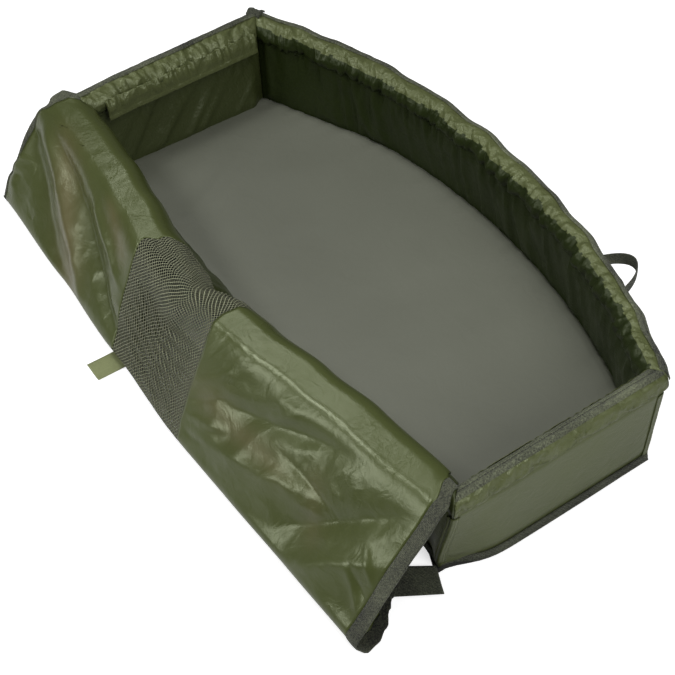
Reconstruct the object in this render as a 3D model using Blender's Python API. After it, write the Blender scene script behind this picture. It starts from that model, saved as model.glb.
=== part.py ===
# Walled unhooking mat with a D-shaped plan and a cover thrown back over its rear wall.
# Metres, +Z up. +X runs along the rear wall, +Y from the rear wall to the curved front wall.
# The origin is on the ground, midway between the end walls and midway along them.

from math import acos, asin, atan2, cos, hypot, pi, radians, sin, sqrt

import bmesh
import bpy
from mathutils import Matrix, Vector

# Plan and height of the walls, measured to the walls' centre lines at the rim
MAT_LENGTH = 0.96
END_WIDTH = 0.33
FRONT_BULGE = 0.11
WALL_HEIGHT = 0.19
WALL_LEAN = 0.012

# Gaps between pieces that touch on the real mat
FIT_GAP = 0.0003
CORNER_GAP = 0.0003

# Wall layers
CORE_THICKNESS = 0.018
SKIN_THICKNESS = 0.0012
CORE_TOP = 0.166

# Padded rim and the tape along it
RIM_HALF_WIDTH = 0.025
RIM_HALF_HEIGHT = 0.024
TAPE_WIDTH = 0.020
TAPE_THICKNESS = 0.002
KNOT_LENGTH = 0.026
KNOT_WIDTH = 0.020
KNOT_HEIGHT = 0.003
KNOT_OUTSET = 0.003

# Base
UNDERSIDE_THICKNESS = 0.0015
PAD_HEIGHT = 0.034
PAD_CROWN = 0.004
FLOOR_THICKNESS = 0.0015
BINDING_HEIGHT = 0.014
BINDING_THICKNESS = 0.0035

# Corner strips
STRIP_LEG = 0.011
STRIP_THICKNESS = 0.0012

# Inner flaps, sewn to the rims of the end walls on their inner side
FLAP_LENGTH = 0.278
FLAP_SHIFT = 0.006
FLAP_SEWN_ANGLE = radians(154)
FLAP_HEM_HEIGHT = 0.140
FLAP_THICKNESS = 0.0014
FLAP_BOTTOM_HEM = 0.0026
FLAP_STAND_OFF = 0.0006
FLAP_STEPS = 4

# Cover
COVER_LEFT = -0.497
COVER_RIGHT = 0.487
COVER_FLARE = 0.055
COVER_BINDING_WIDTH = 0.020
COVER_BINDING_THICKNESS = 0.002
CLOTH_THICKNESS = 0.0012
MESH_LEFT = -0.130
MESH_WIDTH = 0.200
SEAM_GAP = 0.0004
HINGE_OUTSET = 0.034
HINGE_RISE = 0.006
HINGE_GAP = 0.0005
HINGE_START = 0.001
HEM_END_GAP = 0.0012
HEM_END_DROP = 0.0008
HEM_WRAP = radians(200)
HEM_LEAVES = radians(80)
FOLD_OUTSET = 0.188
FOLD_DRAW_IN = 0.052
FOLD_HEIGHT = 0.016
FOLD_START = 0.0008
LIP_FOLD_OUTSET = 0.057
LIP_HEIGHT = 0.0014
LIP_FOLD_RADIUS = 0.0009
LIP_FOLD_START = 0.0005
LIP_HALF_LENGTH = 0.415
LIP_END_DEPTH = 0.006
LIP_BULGE = 0.078
LIP_BINDING_WIDTH = 0.015

# Drape of the cover
DRAPE_DEPTH = 0.011
DRAPE_PITCH = 0.165
DRAPE_SLANT = 0.55
MESH_SAG = 0.009
PLEAT_DEPTH = 0.003
PLEAT_PITCH = 0.034

# Tabs on the cover
CORNER_TAB_INSET = 0.039
CORNER_TAB_OVERLAP = 0.036
CORNER_TAB_LENGTH = 0.060
CORNER_TAB_WIDTH = 0.040
CORNER_TAB_THICKNESS = 0.0016
CORNER_TAB_TURN = radians(22)
PULL_TAB_X = -0.123
PULL_TAB_LENGTH = 0.056
PULL_TAB_WIDTH = 0.036
PULL_TAB_THICKNESS = 0.0014

# Carry handles
HANDLE_OFFSET = 0.272
HANDLE_CHORD = 0.105
HANDLE_FLAT = 0.014
HANDLE_BULGE = 0.038
HANDLE_WIDTH = 0.025
HANDLE_THICKNESS = 0.0022
HANDLE_DROP = 0.004
BACKING_OVERHANG = 0.010
BACKING_MARGIN = 0.002
BACKING_THICKNESS = 0.0016

# Steps of the curved shapes
FRONT_STEPS = 24
STRAIGHT_STEPS = 2
RIM_STEPS = 12
TAPE_STEPS = 4
HEM_STEPS = 8
CROWN_STEPS = 4
HANDLE_STEPS = 20
DRAPE_STEP = 0.034
LOWER_STEP = 0.06
SLANT_STEPS = 7

# Colour, roughness and metallic value of each material
FINISHES = {
    "shell_nylon": ((0.095, 0.103, 0.056), 0.45, 0.0),
    "cover_nylon": ((0.110, 0.125, 0.055), 0.30, 0.0),
    "light_nylon": ((0.200, 0.220, 0.115), 0.42, 0.0),
    "floor_vinyl": ((0.150, 0.157, 0.125), 0.40, 0.0),
    "webbing": ((0.035, 0.037, 0.026), 0.85, 0.0),
    "drain_mesh": ((0.060, 0.066, 0.050), 0.80, 0.0),
    "core_foam": ((0.300, 0.300, 0.280), 0.95, 0.0),
    "base_cloth": ((0.022, 0.023, 0.020), 0.75, 0.0),
}

SIDES = ("rear", "right", "front", "left")

HALF_LENGTH = MAT_LENGTH / 2
HALF_WIDTH = END_WIDTH / 2
FRONT_RADIUS = (HALF_LENGTH**2 + FRONT_BULGE**2) / (2 * FRONT_BULGE)
FRONT_CENTRE = HALF_WIDTH + FRONT_BULGE - FRONT_RADIUS
SKIN_OUTSIDE = CORE_THICKNESS / 2 + FIT_GAP + SKIN_THICKNESS
SLOT_HALF = SKIN_OUTSIDE + 2 * FIT_GAP
RIM_TOP = WALL_HEIGHT - TAPE_THICKNESS - FIT_GAP
RIM_CENTRE = RIM_TOP - RIM_HALF_HEIGHT
WALL_FOOT = UNDERSIDE_THICKNESS + FIT_GAP
BINDING_TOP = WALL_FOOT + BINDING_HEIGHT
FOLD_Y = -HALF_WIDTH - FOLD_OUTSET
LIP_FOLD_Y = -HALF_WIDTH - LIP_FOLD_OUTSET
FLOOR_EDGE = WALL_FOOT + PAD_HEIGHT + FIT_GAP


def make_materials():
    for name, (colour, roughness, metallic) in FINISHES.items():
        material = bpy.data.materials.new(name)
        material.use_nodes = True
        shader = material.node_tree.nodes["Principled BSDF"]
        shader.inputs["Base Color"].default_value = (*colour, 1.0)
        shader.inputs["Roughness"].default_value = roughness
        shader.inputs["Metallic"].default_value = metallic


def add_object(name, mesh_data, finish, smooth_angle):
    bmesh.ops.recalc_face_normals(mesh_data, faces=mesh_data.faces)
    mesh = bpy.data.meshes.new(name)
    mesh_data.to_mesh(mesh)
    mesh_data.free()
    mesh.materials.append(bpy.data.materials[finish])
    if smooth_angle:
        mesh.shade_smooth()
        mesh.set_sharp_from_angle(angle=smooth_angle)
    piece = bpy.data.objects.new(name, mesh)
    bpy.context.scene.collection.objects.link(piece)
    return piece


def loft(name, rings, finish, smooth_angle=radians(40)):
    """One closed body through a row of closed rings that have as many points each."""
    mesh_data = bmesh.new()
    rows = [[mesh_data.verts.new(point) for point in ring] for ring in rings]
    count = len(rows[0])
    for near, far in zip(rows, rows[1:]):
        for i in range(count):
            j = (i + 1) % count
            mesh_data.faces.new((near[i], near[j], far[j], far[i]))
    mesh_data.faces.new(list(reversed(rows[0])))
    mesh_data.faces.new(rows[-1])
    return add_object(name, mesh_data, finish, smooth_angle)


def band(name, rings, finish):
    """A closed hoop: the last ring joins the first."""
    mesh_data = bmesh.new()
    rows = [[mesh_data.verts.new(point) for point in ring] for ring in rings]
    count = len(rows[0])
    for near, far in zip(rows, rows[1:] + rows[:1]):
        for i in range(count):
            j = (i + 1) % count
            mesh_data.faces.new((near[i], near[j], far[j], far[i]))
    return add_object(name, mesh_data, finish, radians(40))


def evenly(start, end, steps):
    return [start + (end - start) * i / steps for i in range(steps + 1)]


# Plan of the walls

def lean_at(height):
    """How far the wall's centre line stands outside its place at the rim."""
    return -WALL_LEAN * (1 - height / WALL_HEIGHT)


def front_corner_y(outset):
    reach = HALF_LENGTH + outset
    return FRONT_CENTRE + sqrt((FRONT_RADIUS + outset) ** 2 - reach**2)


def plan_point(side, share, outset, trim=0.0):
    """A point of one wall's line, moved outwards by outset, its ends mitred and cut back by trim.

    The walls run anticlockwise, and share goes from 0 at a wall's start to 1 at its end.
    """
    long_half = HALF_LENGTH + outset
    rear_y = -HALF_WIDTH - outset
    if side == "rear":
        return (2 * share - 1) * (long_half - trim), rear_y
    if side == "front":
        radius = FRONT_RADIUS + outset
        angle = (1 - 2 * share) * (asin(long_half / radius) - trim / radius)
        return radius * sin(angle), FRONT_CENTRE + radius * cos(angle)
    low = rear_y + trim
    high = front_corner_y(outset) - trim
    if side == "right":
        return long_half, low + (high - low) * share
    return -long_half, high + (low - high) * share


def point_along(side, distance, outset):
    """A point at a signed distance from the middle of a long wall, and the outward direction there."""
    if side == "rear":
        return Vector((distance, -HALF_WIDTH - outset, 0.0)), Vector((0.0, -1.0, 0.0))
    angle = distance / FRONT_RADIUS
    outward = Vector((sin(angle), cos(angle), 0.0))
    return Vector((0.0, FRONT_CENTRE, 0.0)) + (FRONT_RADIUS + outset) * outward, outward


def outline(outset, scale=1.0):
    """The whole plan as one ring, moved outwards by outset and drawn in about its middle by scale."""
    shares = evenly(0.0, 1.0, FRONT_STEPS)
    ring = [plan_point("rear", 0.0, outset), plan_point("rear", 0.5, outset)]
    ring.append(plan_point("right", 0.0, outset))
    ring += [plan_point("front", share, outset) for share in shares]
    middle = FRONT_BULGE / 2
    return [(x * scale, middle + (y - middle) * scale) for x, y in ring]


def wall_loft(name, side, section, steps, finish):
    """Sweeps a section of (outset, height) points along one wall."""
    rings = []
    for share in evenly(0.0, 1.0, steps):
        ring = []
        for outset, height in section:
            x, y = plan_point(side, share, outset + lean_at(height), CORNER_GAP)
            ring.append((x, y, height))
        rings.append(ring)
    return loft(name, rings, finish)


def steps_of(side):
    return FRONT_STEPS if side == "front" else STRAIGHT_STEPS


# Base

def base_underside():
    outset = lean_at(BINDING_TOP) + SKIN_OUTSIDE + FIT_GAP + BINDING_THICKNESS
    rings = [[(x, y, height) for x, y in outline(outset)] for height in (0.0, UNDERSIDE_THICKNESS)]
    loft("base_underside", rings, "base_cloth")


def crowned_rings(outset, edge_height):
    rings = []
    for share in evenly(0.0, 1.0, CROWN_STEPS)[:-1]:
        scale = 1 - share
        height = edge_height + PAD_CROWN * (1 - scale**2)
        rings.append([(x, y, height) for x, y in outline(outset, scale)])
    return rings


def base_foam_pad():
    outset = lean_at(WALL_FOOT) - SKIN_OUTSIDE - FIT_GAP
    foot = [(x, y, WALL_FOOT) for x, y in outline(outset)]
    loft("base_foam_pad", [foot] + crowned_rings(outset, WALL_FOOT + PAD_HEIGHT), "core_foam")


def floor_panel():
    outset = lean_at(FLOOR_EDGE) - SKIN_OUTSIDE - FIT_GAP
    lower = crowned_rings(outset, FLOOR_EDGE)
    upper = crowned_rings(outset, FLOOR_EDGE + FLOOR_THICKNESS)
    loft("floor_panel", lower[::-1] + upper, "floor_vinyl")


def base_edge_binding():
    inner = lean_at(BINDING_TOP) + SKIN_OUTSIDE + FIT_GAP
    outer = inner + BINDING_THICKNESS
    corners = ((inner, WALL_FOOT), (outer, WALL_FOOT), (outer, BINDING_TOP), (inner, BINDING_TOP))
    hoops = [[(x, y, height) for x, y in outline(outset)] for outset, height in corners]
    band("base_edge_binding", list(zip(*hoops)), "webbing")


# Walls

def rim_point(angle, swell=0.0):
    """A point of the rim's rounded outside, as outset and height."""
    outset = (RIM_HALF_WIDTH + swell) * cos(angle)
    return outset, RIM_CENTRE + (RIM_HALF_HEIGHT + swell) * sin(angle)


def rim_foot():
    return rim_point(-acos(SLOT_HALF / RIM_HALF_WIDTH))[1]


def layer(inside, outside, low, high):
    return [(inside, low), (outside, low), (outside, high), (inside, high)]


def rim_section():
    low = -acos(SLOT_HALF / RIM_HALF_WIDTH)
    slot_top = CORE_TOP + FIT_GAP
    section = [rim_point(angle) for angle in evenly(low, pi - low, RIM_STEPS)]
    return section + [(-SLOT_HALF, slot_top), (SLOT_HALF, slot_top)]


def tape_section():
    half = TAPE_WIDTH / 2
    below = []
    for outset in evenly(-half, half, TAPE_STEPS):
        height = RIM_CENTRE + RIM_HALF_HEIGHT * sqrt(1 - (outset / RIM_HALF_WIDTH) ** 2)
        below.append((outset, height + FIT_GAP))
    above = [(outset, height + TAPE_THICKNESS) for outset, height in below]
    return below + above[::-1]


def build_wall(side):
    core_half = CORE_THICKNESS / 2
    skin_inside = core_half + FIT_GAP
    steps = steps_of(side)
    core = layer(-core_half, core_half, WALL_FOOT, CORE_TOP)
    inner = layer(-SKIN_OUTSIDE, -skin_inside, WALL_FOOT, CORE_TOP)
    outer = layer(skin_inside, SKIN_OUTSIDE, WALL_FOOT, CORE_TOP)
    wall_loft(f"{side}_wall_core", side, core, steps, "core_foam")
    wall_loft(f"{side}_wall_lining", side, inner, steps, "shell_nylon")
    wall_loft(f"{side}_wall_outer", side, outer, steps, "shell_nylon")
    wall_loft(f"{side}_wall_rim", side, rim_section(), steps, "light_nylon")
    if side != "rear":
        wall_loft(f"{side}_rim_tape", side, tape_section(), steps, "webbing")


def corner_strip(name, side, next_side):
    """A strip of tape folded round the outside of one corner, from the base binding to the rim."""
    rings = []
    for height in (BINDING_TOP + FIT_GAP, rim_foot() - FIT_GAP):
        inner = lean_at(height) + SKIN_OUTSIDE + FIT_GAP
        ring = []
        for outset, order in ((inner, 1), (inner + STRIP_THICKNESS, -1)):
            line = [
                plan_point(side, 1.0, outset, STRIP_LEG),
                plan_point(side, 1.0, outset),
                plan_point(next_side, 0.0, outset, STRIP_LEG),
            ]
            ring += [(x, y, height) for x, y in line[::order]]
        rings.append(ring)
    loft(name, rings, "shell_nylon")


def tape_knot(name):
    """The turned-over end of the rim tape, lying on the tape at the far front corner."""
    x, y = plan_point("left", 0.0, KNOT_OUTSET)
    slope = asin(HALF_LENGTH / FRONT_RADIUS)
    along, across = Vector((cos(slope), sin(slope))), Vector((-sin(slope), cos(slope)))
    rings = []
    for height in (WALL_HEIGHT + FIT_GAP, WALL_HEIGHT + FIT_GAP + KNOT_HEIGHT):
        ring = []
        for step, side_step in ((-1, -1), (1, -1), (1, 1), (-1, 1)):
            point = Vector((x, y)) + along * (step * KNOT_LENGTH / 2) + across * (side_step * KNOT_WIDTH / 2)
            ring.append((point.x, point.y, height))
        rings.append(ring)
    loft(name, rings, "webbing")


def flap_line(swell):
    """The flap's line over the rim's inner side, from its sewn edge down to the widest place."""
    angles = evenly(FLAP_SEWN_ANGLE, pi, FLAP_STEPS)
    return [rim_point(angle, swell) for angle in angles]


def inner_flap(name, mirror):
    """Flap that hangs over a rim's inner side, inside an end wall; its origin is on its hinge line."""
    middle = FLAP_STAND_OFF + FLAP_THICKNESS / 2
    sewn_outset, top = rim_point(FLAP_SEWN_ANGLE, middle)
    hinge = HALF_LENGTH + lean_at(top) + sewn_outset
    face = -RIM_HALF_WIDTH - FLAP_STAND_OFF
    section = flap_line(FLAP_STAND_OFF)
    section += [(face, FLAP_HEM_HEIGHT), (face - FLAP_BOTTOM_HEM, FLAP_HEM_HEIGHT)]
    section += [(face - FLAP_BOTTOM_HEM, FLAP_HEM_HEIGHT + FLAP_BOTTOM_HEM)]
    section += [(face - FLAP_THICKNESS, FLAP_HEM_HEIGHT + 2 * FLAP_BOTTOM_HEM)]
    section += flap_line(FLAP_STAND_OFF + FLAP_THICKNESS)[::-1]
    rings = []
    for y in (FLAP_SHIFT - FLAP_LENGTH / 2, FLAP_SHIFT + FLAP_LENGTH / 2):
        ring = []
        for outset, height in section:
            across = HALF_LENGTH + lean_at(height) + outset - hinge
            ring.append((mirror * across, y, height - top))
        rings.append(ring)
    piece = loft(name, rings, "light_nylon")
    piece.location = (mirror * hinge, 0.0, top)


# Cover: each layer runs from its own fold line at a set angle, in the plane across the mat

HINGE = Vector((0.0, -HALF_WIDTH - HINGE_OUTSET, WALL_HEIGHT + HINGE_RISE))
PANEL_OFFSET = HINGE_GAP + CLOTH_THICKNESS / 2


def direction(angle):
    return Vector((0.0, cos(angle), sin(angle)))


def inward_normal(angle):
    """Towards the cover's inner face, the one that faces the fish when the cover is shut."""
    return Vector((0.0, sin(angle), -cos(angle)))


def flared(x, share):
    """Where the cloth that crosses the hinge at x lies, at this share of its way to the fold."""
    beyond = max(0.0, (MESH_LEFT - x) / (MESH_LEFT - COVER_LEFT))
    return x - COVER_FLARE * beyond * share


def fold_point(x):
    """A point of the fold line, which runs a little nearer the wall towards its far end."""
    share = (COVER_RIGHT - x) / (COVER_RIGHT - COVER_LEFT + COVER_FLARE)
    return Vector((0.0, FOLD_Y + FOLD_DRAW_IN * share, FOLD_HEIGHT))


LIP_FOLD = Vector((0.0, LIP_FOLD_Y, LIP_HEIGHT + LIP_FOLD_RADIUS))


def upper_layer(x):
    """Start, angle and length of the layer from the hinge to the fold, for the cloth that crosses the hinge at x."""
    gap = fold_point(flared(x, 1.0)) - HINGE
    return HINGE, atan2(gap.z, gap.y), hypot(gap.y, gap.z)


def lower_layer(x):
    """The same for the layer under it, from the fold to the lip's fold."""
    fold = fold_point(flared(x, 1.0))
    gap = LIP_FOLD - fold
    span = hypot(gap.y, gap.z)
    angle = atan2(gap.z, gap.y) + asin(LIP_FOLD_RADIUS / span)
    return fold, angle, sqrt(span**2 - LIP_FOLD_RADIUS**2)


def lip_layer(x):
    return LIP_FOLD, pi, lip_depth(x)


def lower_start(x, thickness):
    """Reach from the fold line at which the lower layer has come clear of the upper one."""
    opening = (upper_layer(x)[1] - lower_layer(x)[1]) % pi
    return (HINGE_GAP + thickness + thickness / 2 * cos(opening)) / sin(opening) + FIT_GAP


def lip_depth(x):
    return LIP_END_DEPTH + LIP_BULGE * (1 - (x / LIP_HALF_LENGTH) ** 2)


def drape(x, share):
    """How far the upper layer hangs below its plane: slanted folds, and a sag with pleats in the mesh."""
    ease = sin(pi * share) ** 2
    phase = pi * (x + DRAPE_SLANT * DRAPE_PITCH * share) / DRAPE_PITCH
    depth = DRAPE_DEPTH * sin(phase) ** 2
    mesh_share = (x - MESH_LEFT) / MESH_WIDTH
    if 0.0 < mesh_share < 1.0:
        window = sin(pi * mesh_share)
        pleat = PLEAT_DEPTH * sin(pi * (x - MESH_LEFT) / PLEAT_PITCH) ** 2
        depth += window * (MESH_SAG + pleat)
    return depth * ease


def flat(x, share):
    return 0.0


def level(x, share):
    return x


def fold_level(x, share):
    return flared(x, 1.0)


def set_origin(piece, pivot):
    """Puts a piece's origin on its joint's axis and leaves its shape where it is."""
    piece.data.transform(Matrix.Translation(-pivot))
    piece.location = pivot


def cover_sheet(name, finish, layer_at, offset, slide, xs, starts, ends, steps, thickness, depth=flat):
    """A closed sheet on one layer of the cover. starts and ends give its reach at each x."""
    mesh_data = bmesh.new()
    faces = []
    for half in (thickness / 2, -thickness / 2):
        grid = []
        for x in xs:
            row = []
            origin, angle, _ = layer_at(x)
            along, inward = direction(angle), inward_normal(angle)
            for share in evenly(0.0, 1.0, steps):
                reach = starts(x) + (ends(x) - starts(x)) * share
                point = origin + along * reach + inward * (half - offset - depth(x, share))
                row.append(mesh_data.verts.new((slide(x, share), point.y, point.z)))
            grid.append(row)
        faces.append(grid)
    top, bottom = faces
    last_x, last_share = len(xs) - 1, steps
    for i in range(last_x):
        for j in range(last_share):
            for grid in (top, bottom):
                mesh_data.faces.new((grid[i][j], grid[i + 1][j], grid[i + 1][j + 1], grid[i][j + 1]))
    for i in range(last_x):
        for j in (0, last_share):
            mesh_data.faces.new((top[i][j], top[i + 1][j], bottom[i + 1][j], bottom[i][j]))
    for j in range(last_share):
        for i in (0, last_x):
            mesh_data.faces.new((top[i][j], top[i][j + 1], bottom[i][j + 1], bottom[i][j]))
    return add_object(name, mesh_data, finish, radians(60))


def panel_spans():
    """Name, finish and reach along X of the cover's three panels."""
    mesh_right = MESH_LEFT + MESH_WIDTH
    return (
        ("left", "cover_nylon", COVER_LEFT + COVER_BINDING_WIDTH + SEAM_GAP, MESH_LEFT - SEAM_GAP),
        ("mesh", "drain_mesh", MESH_LEFT, mesh_right),
        ("right", "cover_nylon", mesh_right + SEAM_GAP, COVER_RIGHT - COVER_BINDING_WIDTH - SEAM_GAP),
    )


def binding_spans():
    return (
        ("left", COVER_LEFT, COVER_LEFT + COVER_BINDING_WIDTH),
        ("right", COVER_RIGHT - COVER_BINDING_WIDTH, COVER_RIGHT),
    )


def spaced(start, end, step):
    return evenly(start, end, max(1, round((end - start) / step)))


def constant(value):
    return lambda x: value


def build_upper():
    start = constant(HINGE_START)
    end = lambda x: upper_layer(x)[2] - FOLD_START
    sheet = lambda name, *rest: set_origin(cover_sheet(f"cover_upper_{name}", *rest, drape), HINGE)
    for part, finish, *limits in panel_spans():
        xs = spaced(*limits, DRAPE_STEP)
        shape = (PANEL_OFFSET, flared, xs, start, end, SLANT_STEPS, CLOTH_THICKNESS)
        sheet(part, finish, upper_layer, *shape)
    thick = COVER_BINDING_THICKNESS
    for part, *xs in binding_spans():
        shape = (PANEL_OFFSET + (thick - CLOTH_THICKNESS) / 2, flared, xs, start, end, SLANT_STEPS, thick)
        sheet(f"binding_{part}", "webbing", upper_layer, *shape)


def build_lower():
    end = lambda x: lower_layer(x)[2] - LIP_FOLD_START
    rows = [(part, finish, spaced(*limits, LOWER_STEP), CLOTH_THICKNESS) for part, finish, *limits in panel_spans()]
    rows += [(f"binding_{part}", "webbing", xs, COVER_BINDING_THICKNESS) for part, *xs in binding_spans()]
    for part, finish, xs, thick in rows:
        start = lambda x, t=thick: lower_start(x, t)
        shape = (0.0, fold_level, xs, start, end, STRAIGHT_STEPS, thick)
        piece = cover_sheet(f"cover_lower_{part}", finish, lower_layer, *shape)
        set_origin(piece, fold_point(0.0))


def build_lip():
    start_reach = constant(LIP_FOLD_START)
    spans = {part: (start, end) for part, _, start, end in panel_spans()}
    limits = {
        "left": (-LIP_HALF_LENGTH, spans["left"][1]),
        "mesh": spans["mesh"],
        "right": (spans["right"][0], LIP_HALF_LENGTH),
    }
    for part, finish, _, _ in panel_spans():
        xs = spaced(*limits[part], LOWER_STEP)
        shape = (LIP_FOLD_RADIUS, level, xs, start_reach, lip_depth, STRAIGHT_STEPS, CLOTH_THICKNESS)
        set_origin(cover_sheet(f"cover_lip_{part}", finish, lip_layer, *shape), LIP_FOLD)
    edge = lambda x: lip_depth(x) + FIT_GAP
    rim = lambda x: lip_depth(x) + FIT_GAP + LIP_BINDING_WIDTH
    xs = spaced(-LIP_HALF_LENGTH, LIP_HALF_LENGTH, DRAPE_STEP)
    shape = (LIP_FOLD_RADIUS, level, xs, edge, rim, 1, COVER_BINDING_THICKNESS)
    set_origin(cover_sheet("cover_lip_binding", "webbing", lip_layer, *shape), LIP_FOLD)


def hem_section():
    """Mid-line of the strip that carries the cover over the rear rim to the hinge line."""
    swell = FIT_GAP + CLOTH_THICKNESS / 2 + FIT_GAP
    path = [rim_point(angle, swell) for angle in evenly(HEM_WRAP, HEM_LEAVES, HEM_STEPS)]
    path = [(outset + lean_at(height), height) for outset, height in path]
    path.append((HINGE_OUTSET - HEM_END_GAP, HINGE.z - HEM_END_DROP))
    return path


def thickened(path, thickness):
    """A closed section: the path moved to either side by half the thickness."""
    sides = []
    for sign in (1, -1):
        line = []
        for i, (u, z) in enumerate(path):
            before = path[max(0, i - 1)]
            after = path[min(len(path) - 1, i + 1)]
            run, rise = after[0] - before[0], after[1] - before[1]
            size = hypot(run, rise)
            half = sign * thickness / 2
            line.append((u - rise / size * half, z + run / size * half))
        sides.append(line)
    return sides[0] + sides[1][::-1]


def build_hem():
    section = thickened(hem_section(), CLOTH_THICKNESS)
    inside = HALF_LENGTH - RIM_HALF_WIDTH - WALL_LEAN / 2
    mesh_right = MESH_LEFT + MESH_WIDTH
    spans = (
        ("left", "cover_nylon", -inside, MESH_LEFT - SEAM_GAP),
        ("mesh", "drain_mesh", MESH_LEFT, mesh_right),
        ("right", "cover_nylon", mesh_right + SEAM_GAP, inside),
    )
    for part, finish, start, end in spans:
        rings = [[(x, -HALF_WIDTH - u, z) for u, z in section] for x in (start, end)]
        loft(f"cover_hem_{part}", rings, finish)


def flat_tab(name, finish, place, corners, low, high, pivot):
    """A flat tab in a layer's plane, on its outer face; its corners are given as x and reach."""
    origin, angle, _ = place
    rings = []
    for rise in (low, high):
        line = [origin + direction(angle) * reach - inward_normal(angle) * rise for _, reach in corners]
        rings.append([(x, point.y, point.z) for (x, _), point in zip(corners, line)])
    set_origin(loft(name, rings, finish), pivot)


def build_tabs():
    low = COVER_BINDING_THICKNESS / 2 + FIT_GAP
    for part, sign, x_end in (("right", 1, COVER_RIGHT), ("left", -1, COVER_LEFT)):
        place = lower_layer(x_end)
        centre = place[2] - CORNER_TAB_OVERLAP + CORNER_TAB_LENGTH / 2
        middle = flared(x_end, 1.0) - sign * CORNER_TAB_INSET
        corners = []
        for across, forward in ((-1, -1), (1, -1), (1, 1), (-1, 1)):
            dx, dy = across * CORNER_TAB_WIDTH / 2, forward * CORNER_TAB_LENGTH / 2
            x = middle + sign * (dx * cos(CORNER_TAB_TURN) + dy * sin(CORNER_TAB_TURN))
            corners.append((x, centre - dx * sin(CORNER_TAB_TURN) + dy * cos(CORNER_TAB_TURN)))
        name = f"cover_corner_tab_{part}"
        flat_tab(name, "webbing", place, corners, low, low + CORNER_TAB_THICKNESS, fold_point(0.0))
    left, right = PULL_TAB_X - PULL_TAB_WIDTH / 2, PULL_TAB_X + PULL_TAB_WIDTH / 2
    near, far = [lip_depth(x) + LIP_BINDING_WIDTH + 2 * FIT_GAP for x in (left, right)]
    end = far + PULL_TAB_LENGTH
    corners = [(left, near), (right, far), (right, end), (left, end)]
    low = LIP_FOLD_RADIUS - PULL_TAB_THICKNESS / 2
    high = low + PULL_TAB_THICKNESS
    flat_tab("cover_pull_tab", "light_nylon", lip_layer(PULL_TAB_X), corners, low, high, LIP_FOLD)


# Carry handles

def handle_top():
    return rim_foot() - HANDLE_DROP


def handle_bulge(share):
    """Distance of the loop from the backing, over the free part of the strap."""
    free = 1 - 2 * HANDLE_FLAT / HANDLE_CHORD
    inside = 1 - (share / free) ** 2
    return HANDLE_BULGE * inside**0.75 if inside > 0 else 0.0


def strap_surface():
    """Outset of the strap's inner face where it lies flat, from the wall's own line."""
    return lean_at(handle_top()) + SKIN_OUTSIDE + FIT_GAP + BACKING_THICKNESS + FIT_GAP


def handle_strap(name, side, middle):
    base, outward = point_along(side, middle, strap_surface())
    tangent = Vector((outward.y, -outward.x, 0.0))
    path = []
    for share in evenly(-1.0, 1.0, HANDLE_STEPS):
        distance = middle + share * HANDLE_CHORD / 2
        outset = strap_surface() + HANDLE_THICKNESS / 2 + handle_bulge(share)
        path.append(point_along(side, distance, outset)[0] - base)
    rings = []
    for i, point in enumerate(path):
        run = path[min(i + 1, HANDLE_STEPS)] - path[max(i - 1, 0)]
        normal = Vector((-run.y, run.x, 0.0)).normalized() * (HANDLE_THICKNESS / 2)
        inner, outer = point - normal, point + normal
        rings.append([
            (inner.x, inner.y, -HANDLE_WIDTH), (outer.x, outer.y, -HANDLE_WIDTH),
            (outer.x, outer.y, 0.0), (inner.x, inner.y, 0.0),
        ])
    strap = loft(name, rings, "webbing")
    strap.location = (base.x, base.y, handle_top())
    return tangent


def handle_backing(name, side, middle):
    half = HANDLE_CHORD / 2 + BACKING_OVERHANG
    high = handle_top()
    low = high - HANDLE_WIDTH - BACKING_MARGIN
    rings = []
    for distance in evenly(middle - half, middle + half, HANDLE_STEPS // 2):
        ring = []
        for level, depth in ((low, 0), (low, 1), (high, 1), (high, 0)):
            outset = lean_at(level) + SKIN_OUTSIDE + FIT_GAP + depth * BACKING_THICKNESS
            point = point_along(side, distance, outset)[0]
            ring.append((point.x, point.y, level))
        rings.append(ring)
    loft(name, rings, "webbing")


def build_handles():
    for side in ("front", "rear"):
        for part, sign in (("right", 1), ("left", -1)):
            handle_strap(f"{side}_handle_{part}", side, sign * HANDLE_OFFSET)
            handle_backing(f"{side}_handle_backing_{part}", side, sign * HANDLE_OFFSET)


def main():
    for old in list(bpy.data.objects):
        bpy.data.objects.remove(old, do_unlink=True)
    make_materials()
    base_underside()
    base_foam_pad()
    floor_panel()
    base_edge_binding()
    for side in SIDES:
        build_wall(side)
    for side, next_side in zip(SIDES, SIDES[1:] + SIDES[:1]):
        corner_strip(f"corner_strip_{side}_{next_side}", side, next_side)
    tape_knot("rim_tape_knot")
    inner_flap("inner_flap_right", 1)
    inner_flap("inner_flap_left", -1)
    build_hem()
    build_upper()
    build_lower()
    build_lip()
    build_tabs()
    build_handles()


main()
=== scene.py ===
from math import acos, asin, atan2, cos, degrees, exp, hypot, pi, radians, sin, sqrt

import bmesh
import bpy
from mathutils import Matrix, Vector, noise


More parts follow.
